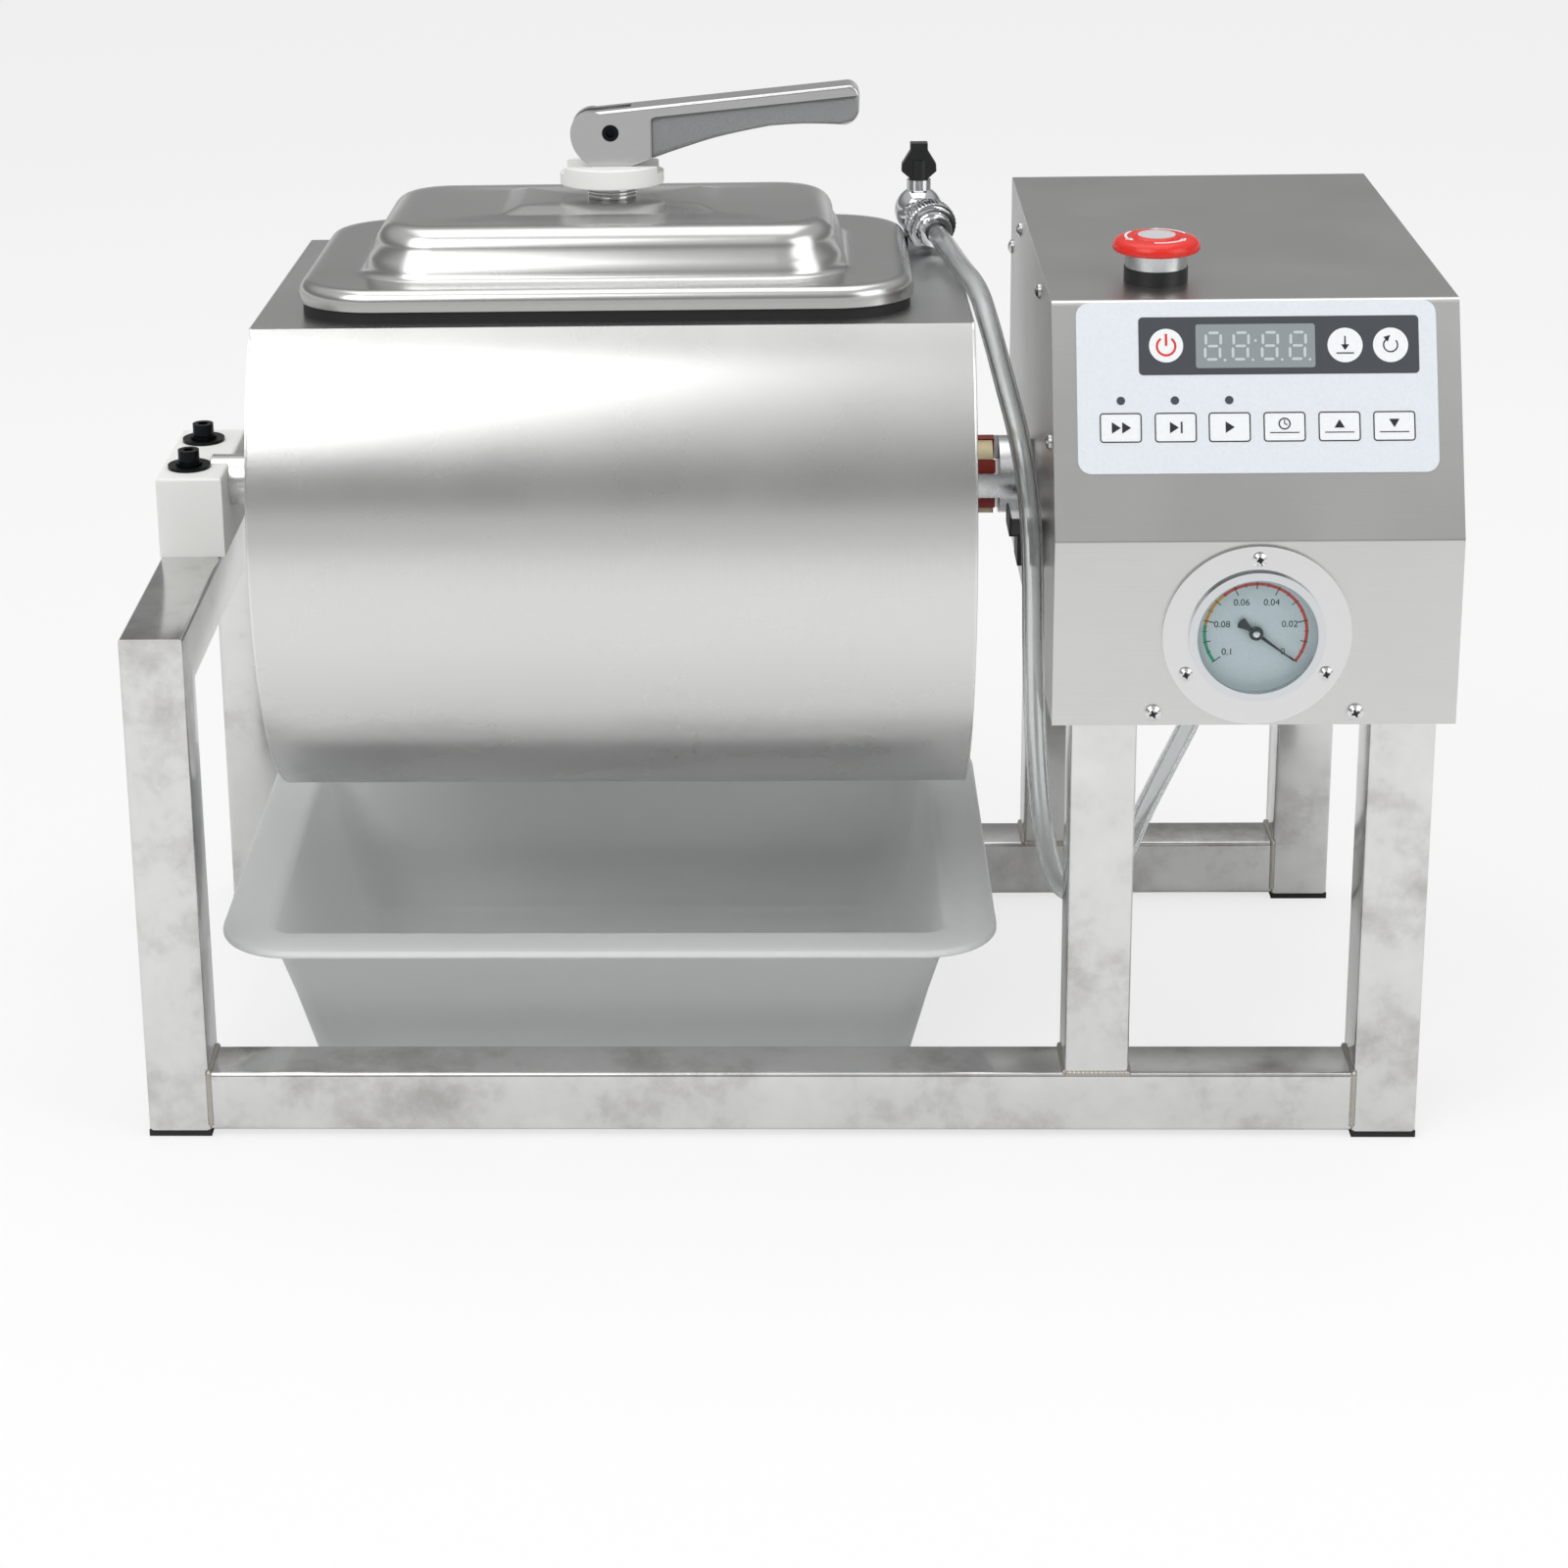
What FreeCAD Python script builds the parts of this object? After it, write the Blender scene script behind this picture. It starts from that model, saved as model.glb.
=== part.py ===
"""Vacuum tumbler for meat: a D-shaped drum turned by a gearmotor in a control housing, on a tube frame.

Row frame: origin on the bench under the middle of the frame, +Z up, +X towards the control housing,
-Y towards the operator. Lengths are millimetres.
"""
import FreeCAD, Part
import math
import os

import Sketcher
from FreeCAD import Placement, Rotation, Vector

doc = FreeCAD.newDocument("VacuumTumbler")

SIZES = {
    # frame of square tube
    "tubeWidth": 30, "tubeWall": 1.5, "frameLength": 600, "frameDepth": 304, "frameHeight": 252,
    "footHeight": 3, "railSpan": 540, "frameLeft": -304, "middleLegX": 146, "rightLegX": 281,
    # drum, in its own frame: axis along X, flat side up
    "axisHeight": 281.6, "drumTilt": 2.8, "drumRadius": 150, "flatHeight": 99.2, "drumStart": -242.7,
    "drumLength": 330.6, "drumWall": 2, "mouthLength": 240, "mouthWidth": 150,
    "shaftRadius": 12.5, "shaftEnd": -281, "hubRadius": 19, "boreClearance": 0.05,
    # lid and its clamp
    "lidX": -80.5, "lidLength": 287, "lidWidth": 198, "lidCorner": 38, "skirtHeight": 10,
    "gasketHeight": 5, "lidSheet": 1.5, "lidTop": 137.5, "bushRadius": 12, "rodRadius": 6,
    "discRadius": 25, "discLow": 146.5, "discHigh": 156, "pinHeight": 172, "pinRadius": 4,
    "leverWidth": 22, "slotWidth": 8.4, "barLength": 176,
    # control housing
    "housingLeft": 122, "housingRight": 304, "housingFront": -154, "housingBack": 154,
    "housingBottom": 209, "slopeFoot": 296.5, "slopeTopY": -111.7, "housingTop": 397,
    "housingSheet": 1.5, "plateLow": 252, "plateThick": 2,
    # gauge and emergency stop
    "gaugeX": 213, "gaugeHeight": 252.4, "flangeRadius": 42.3, "caseRadius": 30, "caseDepth": 30,
    "stopX": 172.5, "stopY": -74.3, "stopHeadRadius": 20, "collarRadius": 14.6,
    # tray and hose
    "trayX": -85.5, "trayY": 14, "rimHeight": 83, "rimLength": 376, "rimWidth": 277, "rimDrop": 3.5,
    "hoseRadius": 5,
}

sheet = doc.addObject("Spreadsheet::Sheet", "Sizes")
for line, (alias, number) in enumerate(SIZES.items(), start=1):
    sheet.set(f"A{line}", alias)
    sheet.set(f"B{line}", str(number))
    sheet.setAlias(f"B{line}", alias)
doc.recompute()


def size(alias):
    """A driving dimension, read back from the sheet."""
    return float(getattr(sheet, alias))


NODES = []
ORIGIN_PLANE = {"XY": "XY_Plane", "XZ": "XZ_Plane", "YZ": "YZ_Plane"}
AXIS_HEIGHT = size("axisHeight")
DRUM_PLACE = Placement(Vector(0, 0, AXIS_HEIGHT), Rotation(Vector(1, 0, 0), -size("drumTilt")))
LID_X = size("lidX")
FLAT = size("flatHeight")
DRUM_LEFT = size("drumStart")
DRUM_RIGHT = DRUM_LEFT + size("drumLength")


# ---------------------------------------------------------------- document helpers
def keep(item, label):
    item.Label = label
    NODES.append(item)
    return item


def bind(item, prop, amount):
    """Set a property, as an expression on the sheet when the amount is text."""
    if isinstance(amount, str):
        item.setExpression(prop, amount)
    else:
        setattr(item, prop, amount)


def new_body(label, place=None):
    body = doc.addObject("PartDesign::Body", label)
    body.AllowCompound = True
    if place:
        body.Placement = place
    return keep(body, label)


def new_sketch(body, plane, offset=0.0):
    """A sketch on an origin plane: XY looks along Z, XZ along -Y and YZ along X."""
    sketch = body.newObject("Sketcher::SketchObject", body.Label + "_sketch")
    support = next(f for f in body.Origin.OriginFeatures if f.Role == ORIGIN_PLANE[plane])
    sketch.AttachmentSupport = [(support, "")]
    sketch.MapMode = "FlatFace"
    if isinstance(offset, str):
        sketch.setExpression("AttachmentOffset.Base.z", offset)
    else:
        sketch.AttachmentOffset = Placement(Vector(0, 0, offset), Rotation())
    return sketch


def outline(sketch, *pieces):
    """Add edges end to end: a 2-point piece is a line, a 3-point piece an arc through its middle."""
    for piece in pieces:
        points = [Vector(x, y, 0) for x, y in piece]
        if len(points) == 2:
            sketch.addGeometry(Part.LineSegment(*points), False)
        else:
            sketch.addGeometry(Part.Arc(*points), False)


def polygon(sketch, points):
    ends = points[1:] + points[:1]
    outline(sketch, *[(a, b) for a, b in zip(points, ends)])


def rectangle(sketch, middle_x, middle_y, wide, high, corner=0.0):
    """A rectangle about a middle point, with round corners when a corner radius is given."""
    left, right = middle_x - wide / 2, middle_x + wide / 2
    low, top = middle_y - high / 2, middle_y + high / 2
    if not corner:
        polygon(sketch, [(left, low), (right, low), (right, top), (left, top)])
        return
    near = corner * (1 - math.sqrt(0.5))
    outline(
        sketch,
        ((left + corner, low), (right - corner, low)),
        ((right - corner, low), (right - near, low + near), (right, low + corner)),
        ((right, low + corner), (right, top - corner)),
        ((right, top - corner), (right - near, top - near), (right - corner, top)),
        ((right - corner, top), (left + corner, top)),
        ((left + corner, top), (left + near, top - near), (left, top - corner)),
        ((left, top - corner), (left, low + corner)),
        ((left, low + corner), (left + near, low + near), (left + corner, low)),
    )


def square(sketch, alias):
    """A centred square whose side is bound to the sheet."""
    half = size(alias) / 2
    first = sketch.GeometryCount
    polygon(sketch, [(-half, -half), (half, -half), (half, half), (-half, half)])
    for corner in range(4):
        following = first + (corner + 1) % 4
        sketch.addConstraint(Sketcher.Constraint("Coincident", first + corner, 2, following, 1))
    for side in (0, 2):
        sketch.addConstraint(Sketcher.Constraint("Horizontal", first + side))
        sketch.addConstraint(Sketcher.Constraint("Vertical", first + side + 1))
    sketch.addConstraint(Sketcher.Constraint("Symmetric", first, 1, first + 2, 1, -1, 1))
    for kind, side in (("DistanceX", 0), ("DistanceY", 1)):
        row = sketch.addConstraint(Sketcher.Constraint(kind, first + side, 1, first + side, 2, 2 * half))
        sketch.setExpression(f"Constraints[{row}]", f"Sizes.{alias}")


def circle(sketch, x, y, radius):
    """A circle, its radius bound to the sheet when it is given as an alias."""
    number = size(radius) if isinstance(radius, str) else radius
    edge = sketch.addGeometry(Part.Circle(Vector(x, y, 0), Vector(0, 0, 1), number), False)
    if isinstance(radius, str):
        row = sketch.addConstraint(Sketcher.Constraint("Radius", edge, number))
        sketch.setExpression(f"Constraints[{row}]", f"Sizes.{radius}")


def d_outline(sketch, inset=0.0):
    """The drum's section: a round with a flat on top, in from the outside by an inset."""
    radius = size("drumRadius") - inset
    flat = FLAT - inset
    side = math.sqrt(radius**2 - flat**2)
    outline(sketch, ((-side, flat), (0, -radius), (side, flat)), ((side, flat), (-side, flat)))


def pad(body, sketch, length, both_ways=False, back=False):
    feature = body.newObject("PartDesign::Pad", body.Label + "_pad")
    feature.Profile = sketch
    bind(feature, "Length", length)
    feature.Midplane = both_ways
    feature.Reversed = back
    return feature


def pocket(body, sketch, length, both_ways=False, back=False):
    feature = body.newObject("PartDesign::Pocket", body.Label + "_pocket")
    feature.Profile = sketch
    bind(feature, "Length", length)
    feature.Midplane = both_ways
    feature.Reversed = back
    return feature


def loft(body, kind, low, high):
    feature = body.newObject(kind, body.Label + "_loft")
    feature.Profile = low
    feature.Sections = [high]
    feature.Ruled = True
    return feature


def fillet(body, base, radius, chosen):
    """Round the edges of a feature that a test chooses."""
    doc.recompute()
    names = [f"Edge{n}" for n, edge in enumerate(base.Shape.Edges, start=1) if chosen(edge)]
    feature = body.newObject("PartDesign::Fillet", body.Label + "_fillet")
    feature.Base = (base, names)
    feature.Radius = radius
    return feature


def at_height(height, within=0.01):
    return lambda edge: abs(edge.BoundBox.ZMin - height) < within and abs(edge.BoundBox.ZMax - height) < within


def revolve(body, sketch, axis="H_Axis"):
    """Turn a profile a whole turn about one of its sketch's axes."""
    feature = body.newObject("PartDesign::Revolution", body.Label + "_turn")
    feature.Profile = sketch
    feature.ReferenceAxis = (sketch, [axis])
    feature.Angle = 360
    return feature


def turned(label, steps, place, bore=0.0):
    """A turned piece along X from (start, end, radius) steps, with an optional through bore."""
    body = new_body(label, place)
    points = [(steps[0][0], bore)]
    for start, end, radius in steps:
        points += [(start, radius), (end, radius)]
    points.append((steps[-1][1], bore))
    tidy = [p for n, p in enumerate(points) if n == 0 or p != points[n - 1]]
    sketch = new_sketch(body, "XY")
    polygon(sketch, tidy)
    revolve(body, sketch)
    return body


def box(label, corner, extent):
    """A loose Part box, for a boolean or as a node."""
    item = doc.addObject("Part::Box", label)
    item.Length, item.Width, item.Height = extent
    item.Placement = Placement(Vector(*corner), Rotation())
    return item


def rod(label, base, radius, length, direction=(0, 0, 1)):
    item = doc.addObject("Part::Cylinder", label)
    bind(item, "Radius", radius)
    item.Height = length
    item.Placement = Placement(Vector(*base), Rotation(Vector(0, 0, 1), Vector(*direction)))
    return item


def joined(label, items):
    item = doc.addObject("Part::MultiFuse", label)
    item.Shapes = items
    return item


def cut_from(label, base, tool):
    item = doc.addObject("Part::Cut", label)
    item.Base = base
    item.Tool = tool
    return item


def solid_node(label, shape, place=None):
    """A node whose shape is worked out here, with its placement set after the shape."""
    item = doc.addObject("Part::Feature", label)
    item.Shape = shape
    if place:
        item.Placement = place
    return keep(item, label)


# ---------------------------------------------------------------- frame
def frame_tube(label, length, place, low_mitre=False, high_mitre=False):
    """A square tube along its own Z. A mitre leaves the -Y side full length."""
    body = new_body(label, place)
    wall = new_sketch(body, "XY")
    square(wall, "tubeWidth")
    pad(body, wall, length)
    hollow = new_sketch(body, "XY")
    inner = size("tubeWidth") - 2 * size("tubeWall")
    rectangle(hollow, 0, 0, inner, inner)
    bore = pocket(body, hollow, length, back=True)
    doc.recompute()
    half = size("tubeWidth") / 2
    top = bore.Shape.BoundBox.ZMax
    for wanted, end, inward in ((low_mitre, 0.0, 1), (high_mitre, top, -1)):
        if wanted:
            cut = new_sketch(body, "YZ")
            polygon(cut, [(-half, end), (half, end + inward * 2 * half), (half + 5, end + inward * 2 * half),
                          (half + 5, end - inward * 5), (-half, end - inward * 5)])
            pocket(body, cut, 4 * half, both_ways=True)
    return body


def portal(name, x, stands_on):
    """Two mitred legs and the rail across their tops."""
    half_depth = size("frameDepth") / 2 - size("tubeWidth") / 2
    leg = f"Sizes.frameHeight - {stands_on}"
    for side, angle in (("front", 0), ("rear", 180)):
        y = -half_depth if side == "front" else half_depth
        turn = Rotation(Vector(0, 0, 1), angle)
        frame_tube(f"{name}_{side}_leg", leg, Placement(Vector(x, y, stands_on), turn), high_mitre=True)
    rail_height = size("frameHeight") - size("tubeWidth") / 2
    place = Placement(Vector(x, -size("frameDepth") / 2, rail_height), Rotation(Vector(1, 0, 0), -90))
    frame_tube(f"{name}_top_rail", "Sizes.frameDepth", place, low_mitre=True, high_mitre=True)


def make_frame():
    half_tube = size("tubeWidth") / 2
    left_x = size("frameLeft") + half_tube
    rail_top = size("footHeight") + size("tubeWidth")
    portal("left", left_x, size("footHeight"))
    portal("middle", size("middleLegX"), rail_top)
    portal("right", size("rightLegX"), size("footHeight"))
    start = size("frameLeft") + size("tubeWidth")
    for side, sign in (("front", -1), ("rear", 1)):
        y = sign * (size("frameDepth") / 2 - half_tube)
        place = Placement(Vector(start, y, size("footHeight") + half_tube), Rotation(Vector(0, 1, 0), 90))
        frame_tube(f"{side}_rail", "Sizes.railSpan", place)
    caps = new_body("foot_caps")
    corners = [(x, y * (size("frameDepth") / 2 - half_tube))
               for x in (left_x, size("rightLegX")) for y in (-1, 1)]
    plug_width = size("tubeWidth") - 2 * size("tubeWall") - 0.4
    for wide, start_z, high in ((size("tubeWidth"), 0.0, "Sizes.footHeight"), (plug_width, size("footHeight"), 12)):
        sketch = new_sketch(caps, "XY", start_z)
        for x, y in corners:
            rectangle(sketch, x, y, wide, wide)
        pad(caps, sketch, high)


# ---------------------------------------------------------------- left bearing
BLOCK = {"left": -304, "right": -272, "front": -33, "back": 53, "top": 292}
BOLT_X, BOLT_Y = -290.5, (-13, 33)


def make_bearing():
    block = new_body("bearing_block")
    base = new_sketch(block, "XY", "Sizes.frameHeight")
    wide, deep = BLOCK["right"] - BLOCK["left"], BLOCK["back"] - BLOCK["front"]
    rectangle(base, BLOCK["left"] + wide / 2, BLOCK["front"] + deep / 2, wide, deep)
    body_pad = pad(block, base, BLOCK["top"] - size("frameHeight"))
    fillet(block, body_pad, 1.5, at_height(BLOCK["top"]))
    bore = new_sketch(block, "YZ", BLOCK["right"])
    circle(bore, 0, AXIS_HEIGHT, size("shaftRadius") + size("boreClearance"))
    pocket(block, bore, 10)
    bolts = new_body("block_bolts")
    for radius, low, high in ((10.5, 0, 1.6), (6.5, 1.6, 3), (5.2, 3, 9)):
        ring = new_sketch(bolts, "XY", BLOCK["top"] + low)
        for y in BOLT_Y:
            circle(ring, BOLT_X, y, radius)
        pad(bolts, ring, high - low)
    key = new_sketch(bolts, "XY", BLOCK["top"] + 9)
    for y in BOLT_Y:
        hexagon = [(BOLT_X + 2.9 * math.cos(a), y + 2.9 * math.sin(a))
                   for a in (k * math.pi / 3 for k in range(6))]
        polygon(key, hexagon)
    pocket(bolts, key, 3)


# ---------------------------------------------------------------- drum
def make_drum():
    wall = size("drumWall")
    shell = new_body("drum_shell", DRUM_PLACE)
    section = new_sketch(shell, "YZ", "Sizes.drumStart + Sizes.drumWall")
    d_outline(section)
    d_outline(section, wall)
    pad(shell, section, "Sizes.drumLength - 2 * Sizes.drumWall")
    mouth = new_sketch(shell, "XY", FLAT + 1)
    rectangle(mouth, LID_X, 0, size("mouthLength"), size("mouthWidth"), 30)
    pocket(shell, mouth, wall + 3)

    for label, start in (("drum_left_end", DRUM_LEFT), ("drum_right_end", DRUM_RIGHT - wall)):
        end = new_body(label, DRUM_PLACE)
        plate = new_sketch(end, "YZ", start)
        d_outline(plate)
        pad(end, plate, "Sizes.drumWall")
    make_left_shaft(NODES[-2])

    ribs = new_body("drum_baffles", DRUM_PLACE)
    profile = new_sketch(ribs, "YZ", "Sizes.drumStart + Sizes.drumWall")
    inner = size("drumRadius") - wall - 0.1
    for angle in (-90, 30 - 360 + 180, 150 - 180):
        polygon(profile, [turn_point(along, out, angle) for along, out in
                          ((-12, math.sqrt(inner**2 - 144)), (12, math.sqrt(inner**2 - 144)),
                           (3, inner - 24), (-3, inner - 24))])
    pad(ribs, profile, "Sizes.drumLength - 2 * Sizes.drumWall")


def turn_point(along, out, angle):
    """A point at a distance out along a direction, and sideways of it."""
    a = math.radians(angle)
    return (out * math.cos(a) - along * math.sin(a), out * math.sin(a) + along * math.cos(a))


def make_left_shaft(end):
    """The journal welded to the left end: a flange and a round stub."""
    for radius, start, length in ((32, DRUM_LEFT, 3), ("shaftRadius", DRUM_LEFT, DRUM_LEFT - size("shaftEnd"))):
        stub = new_sketch(end, "YZ", start)
        circle(stub, 0, 0, radius)
        pad(end, stub, length, back=True)


# ---------------------------------------------------------------- coupling
JAW_ANGLE = 38
DRIVE_JAWS = (-175, -55, 65)
DRUM_JAWS = (-115, 5, 125)
JAW_START, JAW_END = DRUM_RIGHT + 4.7, DRUM_RIGHT + 15.1
DRIVE_FACE = DRUM_RIGHT + 18.4
WALL_GAP = 1.0


def sector(sketch, middle, inner, outer, spread):
    """A ring sector about the sketch's origin, in degrees from its first axis."""
    turn = [math.radians(middle + side * spread / 2) for side in (-1, 0, 1)]
    out = [(outer * math.cos(a), outer * math.sin(a)) for a in turn]
    into = [(inner * math.cos(a), inner * math.sin(a)) for a in turn]
    outline(sketch, tuple(out), (out[2], into[2]), tuple(reversed(into)), (into[0], out[0]))


def make_coupling():
    """A jaw coupling: three jaws on each hub and a six-legged spider between them."""
    jaw_inner, hub = 8.5, size("hubRadius")
    driven = new_body("driven_hub", DRUM_PLACE)
    for radius, start, length in ((32, DRUM_RIGHT, 3), ("hubRadius", DRUM_RIGHT + 3, 1.5)):
        disc = new_sketch(driven, "YZ", start)
        circle(disc, 0, 0, radius)
        pad(driven, disc, length)
    jaws = new_sketch(driven, "YZ", DRUM_RIGHT + 4.5)
    for angle in DRUM_JAWS:
        sector(jaws, angle, jaw_inner, hub, JAW_ANGLE)
    pad(driven, jaws, JAW_END - DRUM_RIGHT - 4.5)

    spider = new_body("coupling_spider", DRUM_PLACE)
    ring = new_sketch(spider, "YZ", JAW_START)
    circle(ring, 0, 0, 8.2)
    pad(spider, ring, JAW_END + 1 - JAW_START)
    legs = new_sketch(spider, "YZ", JAW_START)
    for angle in (d + 30 + 60 * k for d in DRUM_JAWS[:1] for k in range(6)):
        sector(legs, angle, 8.0, hub + 0.4, 60 - JAW_ANGLE - 2)
    pad(spider, legs, JAW_END + 1 - JAW_START)

    drive = new_body("drive_hub", DRUM_PLACE)
    barrel = new_sketch(drive, "YZ", DRIVE_FACE)
    circle(barrel, 0, 0, "hubRadius")
    pad(drive, barrel, size("housingLeft") - 4 - WALL_GAP - DRIVE_FACE)
    jaws = new_sketch(drive, "YZ", DRIVE_FACE)
    for angle in DRIVE_JAWS:
        sector(jaws, angle, jaw_inner, hub, JAW_ANGLE)
    pad(drive, jaws, DRIVE_FACE - JAW_START - 0.8, back=True)
    shaft = new_sketch(drive, "YZ", size("housingLeft") - 4 - WALL_GAP)
    circle(shaft, 0, 0, 6)
    pad(drive, shaft, 12)


# ---------------------------------------------------------------- lid and clamp
LID_MIDDLE = (LID_X - 0.9, -5)
DOME_FOOT = {"x": -82.4, "y": -8.7, "length": 225, "width": 145, "corner": 32}
DOME_CROWN = {"x": -82.2, "y": -8.2, "length": 217, "width": 137, "corner": 29}
DOME_SHEET = 2.5


def dome_outline(sketch, level, inset=0.0):
    rectangle(sketch, level["x"], level["y"], level["length"] - 2 * inset, level["width"] - 2 * inset,
              level["corner"] - inset)


def make_lid():
    low = FLAT + size("gasketHeight")
    ledge = low + size("skirtHeight")
    top = size("lidTop")
    sheet_t = size("lidSheet")
    x, y = LID_MIDDLE
    length, width, corner = size("lidLength"), size("lidWidth"), size("lidCorner")
    lid = new_body("lid", DRUM_PLACE)
    skirt = new_sketch(lid, "XY", low)
    rectangle(skirt, x, y, length, width, corner)
    flange = pad(lid, skirt, "Sizes.skirtHeight")
    fillet(lid, flange, 4, at_height(ledge))
    foot = new_sketch(lid, "XY", ledge)
    dome_outline(foot, DOME_FOOT)
    crown = new_sketch(lid, "XY", top)
    dome_outline(crown, DOME_CROWN)
    dome = loft(lid, "PartDesign::AdditiveLoft", foot, crown)
    rounded = fillet(lid, dome, 11, at_height(top))
    fillet(lid, rounded, 3.5, lambda edge: at_height(ledge)(edge) and edge.BoundBox.XLength < 240
           and abs(edge.BoundBox.Center.x - DOME_FOOT["x"]) < 116)
    under = new_sketch(lid, "XY", low)
    rectangle(under, x, y, length - 2 * sheet_t, width - 2 * sheet_t, corner - sheet_t)
    pocket(lid, under, size("skirtHeight") - sheet_t, back=True)
    hollow_low = new_sketch(lid, "XY", ledge - sheet_t - 0.5)
    dome_outline(hollow_low, DOME_FOOT, DOME_SHEET)
    hollow_high = new_sketch(lid, "XY", top - 5)
    dome_outline(hollow_high, DOME_CROWN, DOME_SHEET + 2)
    loft(lid, "PartDesign::SubtractiveLoft", hollow_low, hollow_high)
    plateau_foot = new_sketch(lid, "XY", top - 0.1)
    rectangle(plateau_foot, LID_X, 0, 102, 75, 6)
    plateau_top = new_sketch(lid, "XY", top + 2.7)
    rectangle(plateau_top, LID_X, 0, 86, 54, 4)
    loft(lid, "PartDesign::AdditiveLoft", plateau_foot, plateau_top)
    hole = new_sketch(lid, "XY", top + 4)
    circle(hole, LID_X, 0, "bushRadius")
    pocket(lid, hole, 14)

    gasket = new_body("lid_gasket", DRUM_PLACE)
    seal = new_sketch(gasket, "XY", "Sizes.flatHeight")
    rectangle(seal, x, y, length - 2 * sheet_t - 0.2, width - 2 * sheet_t - 0.2, corner - 1.6)
    rectangle(seal, LID_X, 0, 250, 156, 26)
    pad(gasket, seal, ledge - sheet_t - FLAT)

    bush = new_body("threaded_bush", DRUM_PLACE)
    inside = size("lidTop") - 5
    thread = new_sketch(bush, "XY", inside)
    circle(thread, LID_X, 0, "bushRadius")
    circle(thread, LID_X, 0, size("rodRadius") + 0.2)
    pad(bush, thread, size("discLow") - inside)
    flange = new_sketch(bush, "XY", inside)
    circle(flange, LID_X, 0, 19)
    circle(flange, LID_X, 0, size("rodRadius") + 0.2)
    pad(bush, flange, 4, back=True)


SADDLE_DEPTH = 3.7


def make_clamp():
    pin_z = size("pinHeight")
    disc = new_body("pressure_disc", DRUM_PLACE)
    plate = new_sketch(disc, "XY", "Sizes.discLow")
    circle(plate, LID_X, 0, "discRadius")
    circle(plate, LID_X, 0, size("rodRadius") + 0.2)
    thick = pad(disc, plate, "Sizes.discHigh - Sizes.discLow")
    fillet(disc, thick, 0.8, lambda edge: edge.BoundBox.XLength > 45)
    saddle = new_sketch(disc, "XY", size("discHigh") + 1)
    rectangle(saddle, LID_X, 0, 60, size("leverWidth") + 0.8)
    pocket(disc, saddle, SADDLE_DEPTH + 1)
    saddle_floor = size("discHigh") - SADDLE_DEPTH

    bar_z = FLAT - size("drumWall") - 0.3
    shank = rod("rod_shank", (LID_X, 0, bar_z - 16), "Sizes.rodRadius", saddle_floor - bar_z + 16)
    bar = box("rod_bar", (LID_X - 14, -size("barLength") / 2, bar_z - 10), (28, size("barLength"), 10))
    nut = rod("rod_nut", (LID_X, 0, bar_z - 16), 10, 6)
    neck = box("rod_neck", (LID_X - 7, -4, saddle_floor), (14, 8, pin_z - saddle_floor))
    eye = rod("rod_eye", (LID_X, 4, pin_z), 8, 8, (0, -1, 0))
    hole = rod("rod_hole", (LID_X, 10, pin_z), "Sizes.pinRadius", 20, (0, -1, 0))
    clamp_rod = cut_from("clamp_rod", joined("rod_solid", [shank, bar, nut, neck, eye]), hole)
    clamp_rod.Placement = DRUM_PLACE
    keep(clamp_rod, "clamp_rod")

    pin = new_body("lever_pin", DRUM_PLACE)
    wide = size("leverWidth")
    end = new_sketch(pin, "XZ", wide / 2 - 0.2)
    circle(end, LID_X, pin_z, "pinRadius")
    pad(pin, end, wide - 0.4, back=True)
    socket = new_sketch(pin, "XZ", wide / 2 - 0.2)
    polygon(socket, [(LID_X + 2.4 * math.cos(k * math.pi / 3), pin_z + 2.4 * math.sin(k * math.pi / 3))
                     for k in range(6)])
    pocket(pin, socket, 3)
    make_lever(pin_z)


def make_lever(pin_z):
    """The cam lever: a slotted head and a handle relieved on both sides under a polished top edge."""
    def at(*points):
        return tuple((LID_X + x, pin_z + z) for x, z in points)

    wide = size("leverWidth")
    lever = new_body("clamp_lever", DRUM_PLACE)
    side = new_sketch(lever, "XZ")
    outline(
        side,
        at((10, -17), (-5, -17)),
        at((-5, -17), (-15.3, -11), (-19.2, 1)),
        at((-19.2, 1), (-16.2, 7.4), (-8, 10.1)),
        at((-8, 10.1), (113, 21.6)),
        at((113, 21.6), (117.3, 20.2), (119, 16)),
        at((119, 16), (118.8, 9)),
        at((118.8, 9), (116, 4), (110, 2.4)),
        at((110, 2.4), (92, 3), (76, 2.1)),
        at((76, 2.1), (50, -3.2), (22, -12.2)),
        at((22, -12.2), (10, -17)),
    )
    blank = pad(lever, side, "Sizes.leverWidth", both_ways=True)
    fillet(lever, blank, 1.6, lambda edge: edge.BoundBox.YLength < 0.01 and edge.BoundBox.XLength > 110)
    for face, back in ((wide / 2, False), (-wide / 2, True)):
        relief = new_sketch(lever, "XZ", face)
        outline(
            relief,
            at((19, -30), (19, 4.5)),
            at((19, 4.5), (19.8, 6.6), (22, 7.6)),
            at((22, 7.6), (130, 17.8)),
            at((130, 17.8), (130, -30)),
            at((130, -30), (19, -30)),
        )
        pocket(lever, relief, 3.6, back=back)
    slot = new_sketch(lever, "XZ")
    rectangle(slot, LID_X - 10.25, pin_z, 40, 80)
    pocket(lever, slot, "Sizes.slotWidth", both_ways=True)
    hole = new_sketch(lever, "XZ")
    circle(hole, LID_X, pin_z, size("pinRadius") + size("boreClearance"))
    pocket(lever, hole, 40, both_ways=True)


# ---------------------------------------------------------------- vacuum valve on the drum's flat
VALVE_BASE = (70.3, 77)
OUTLET = Vector(0.25, -0.945, -0.18).normalize()
VALVE_CENTRE = Vector(70.3, 82, 396)
HOSE_START = VALVE_CENTRE + OUTLET * 30


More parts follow.
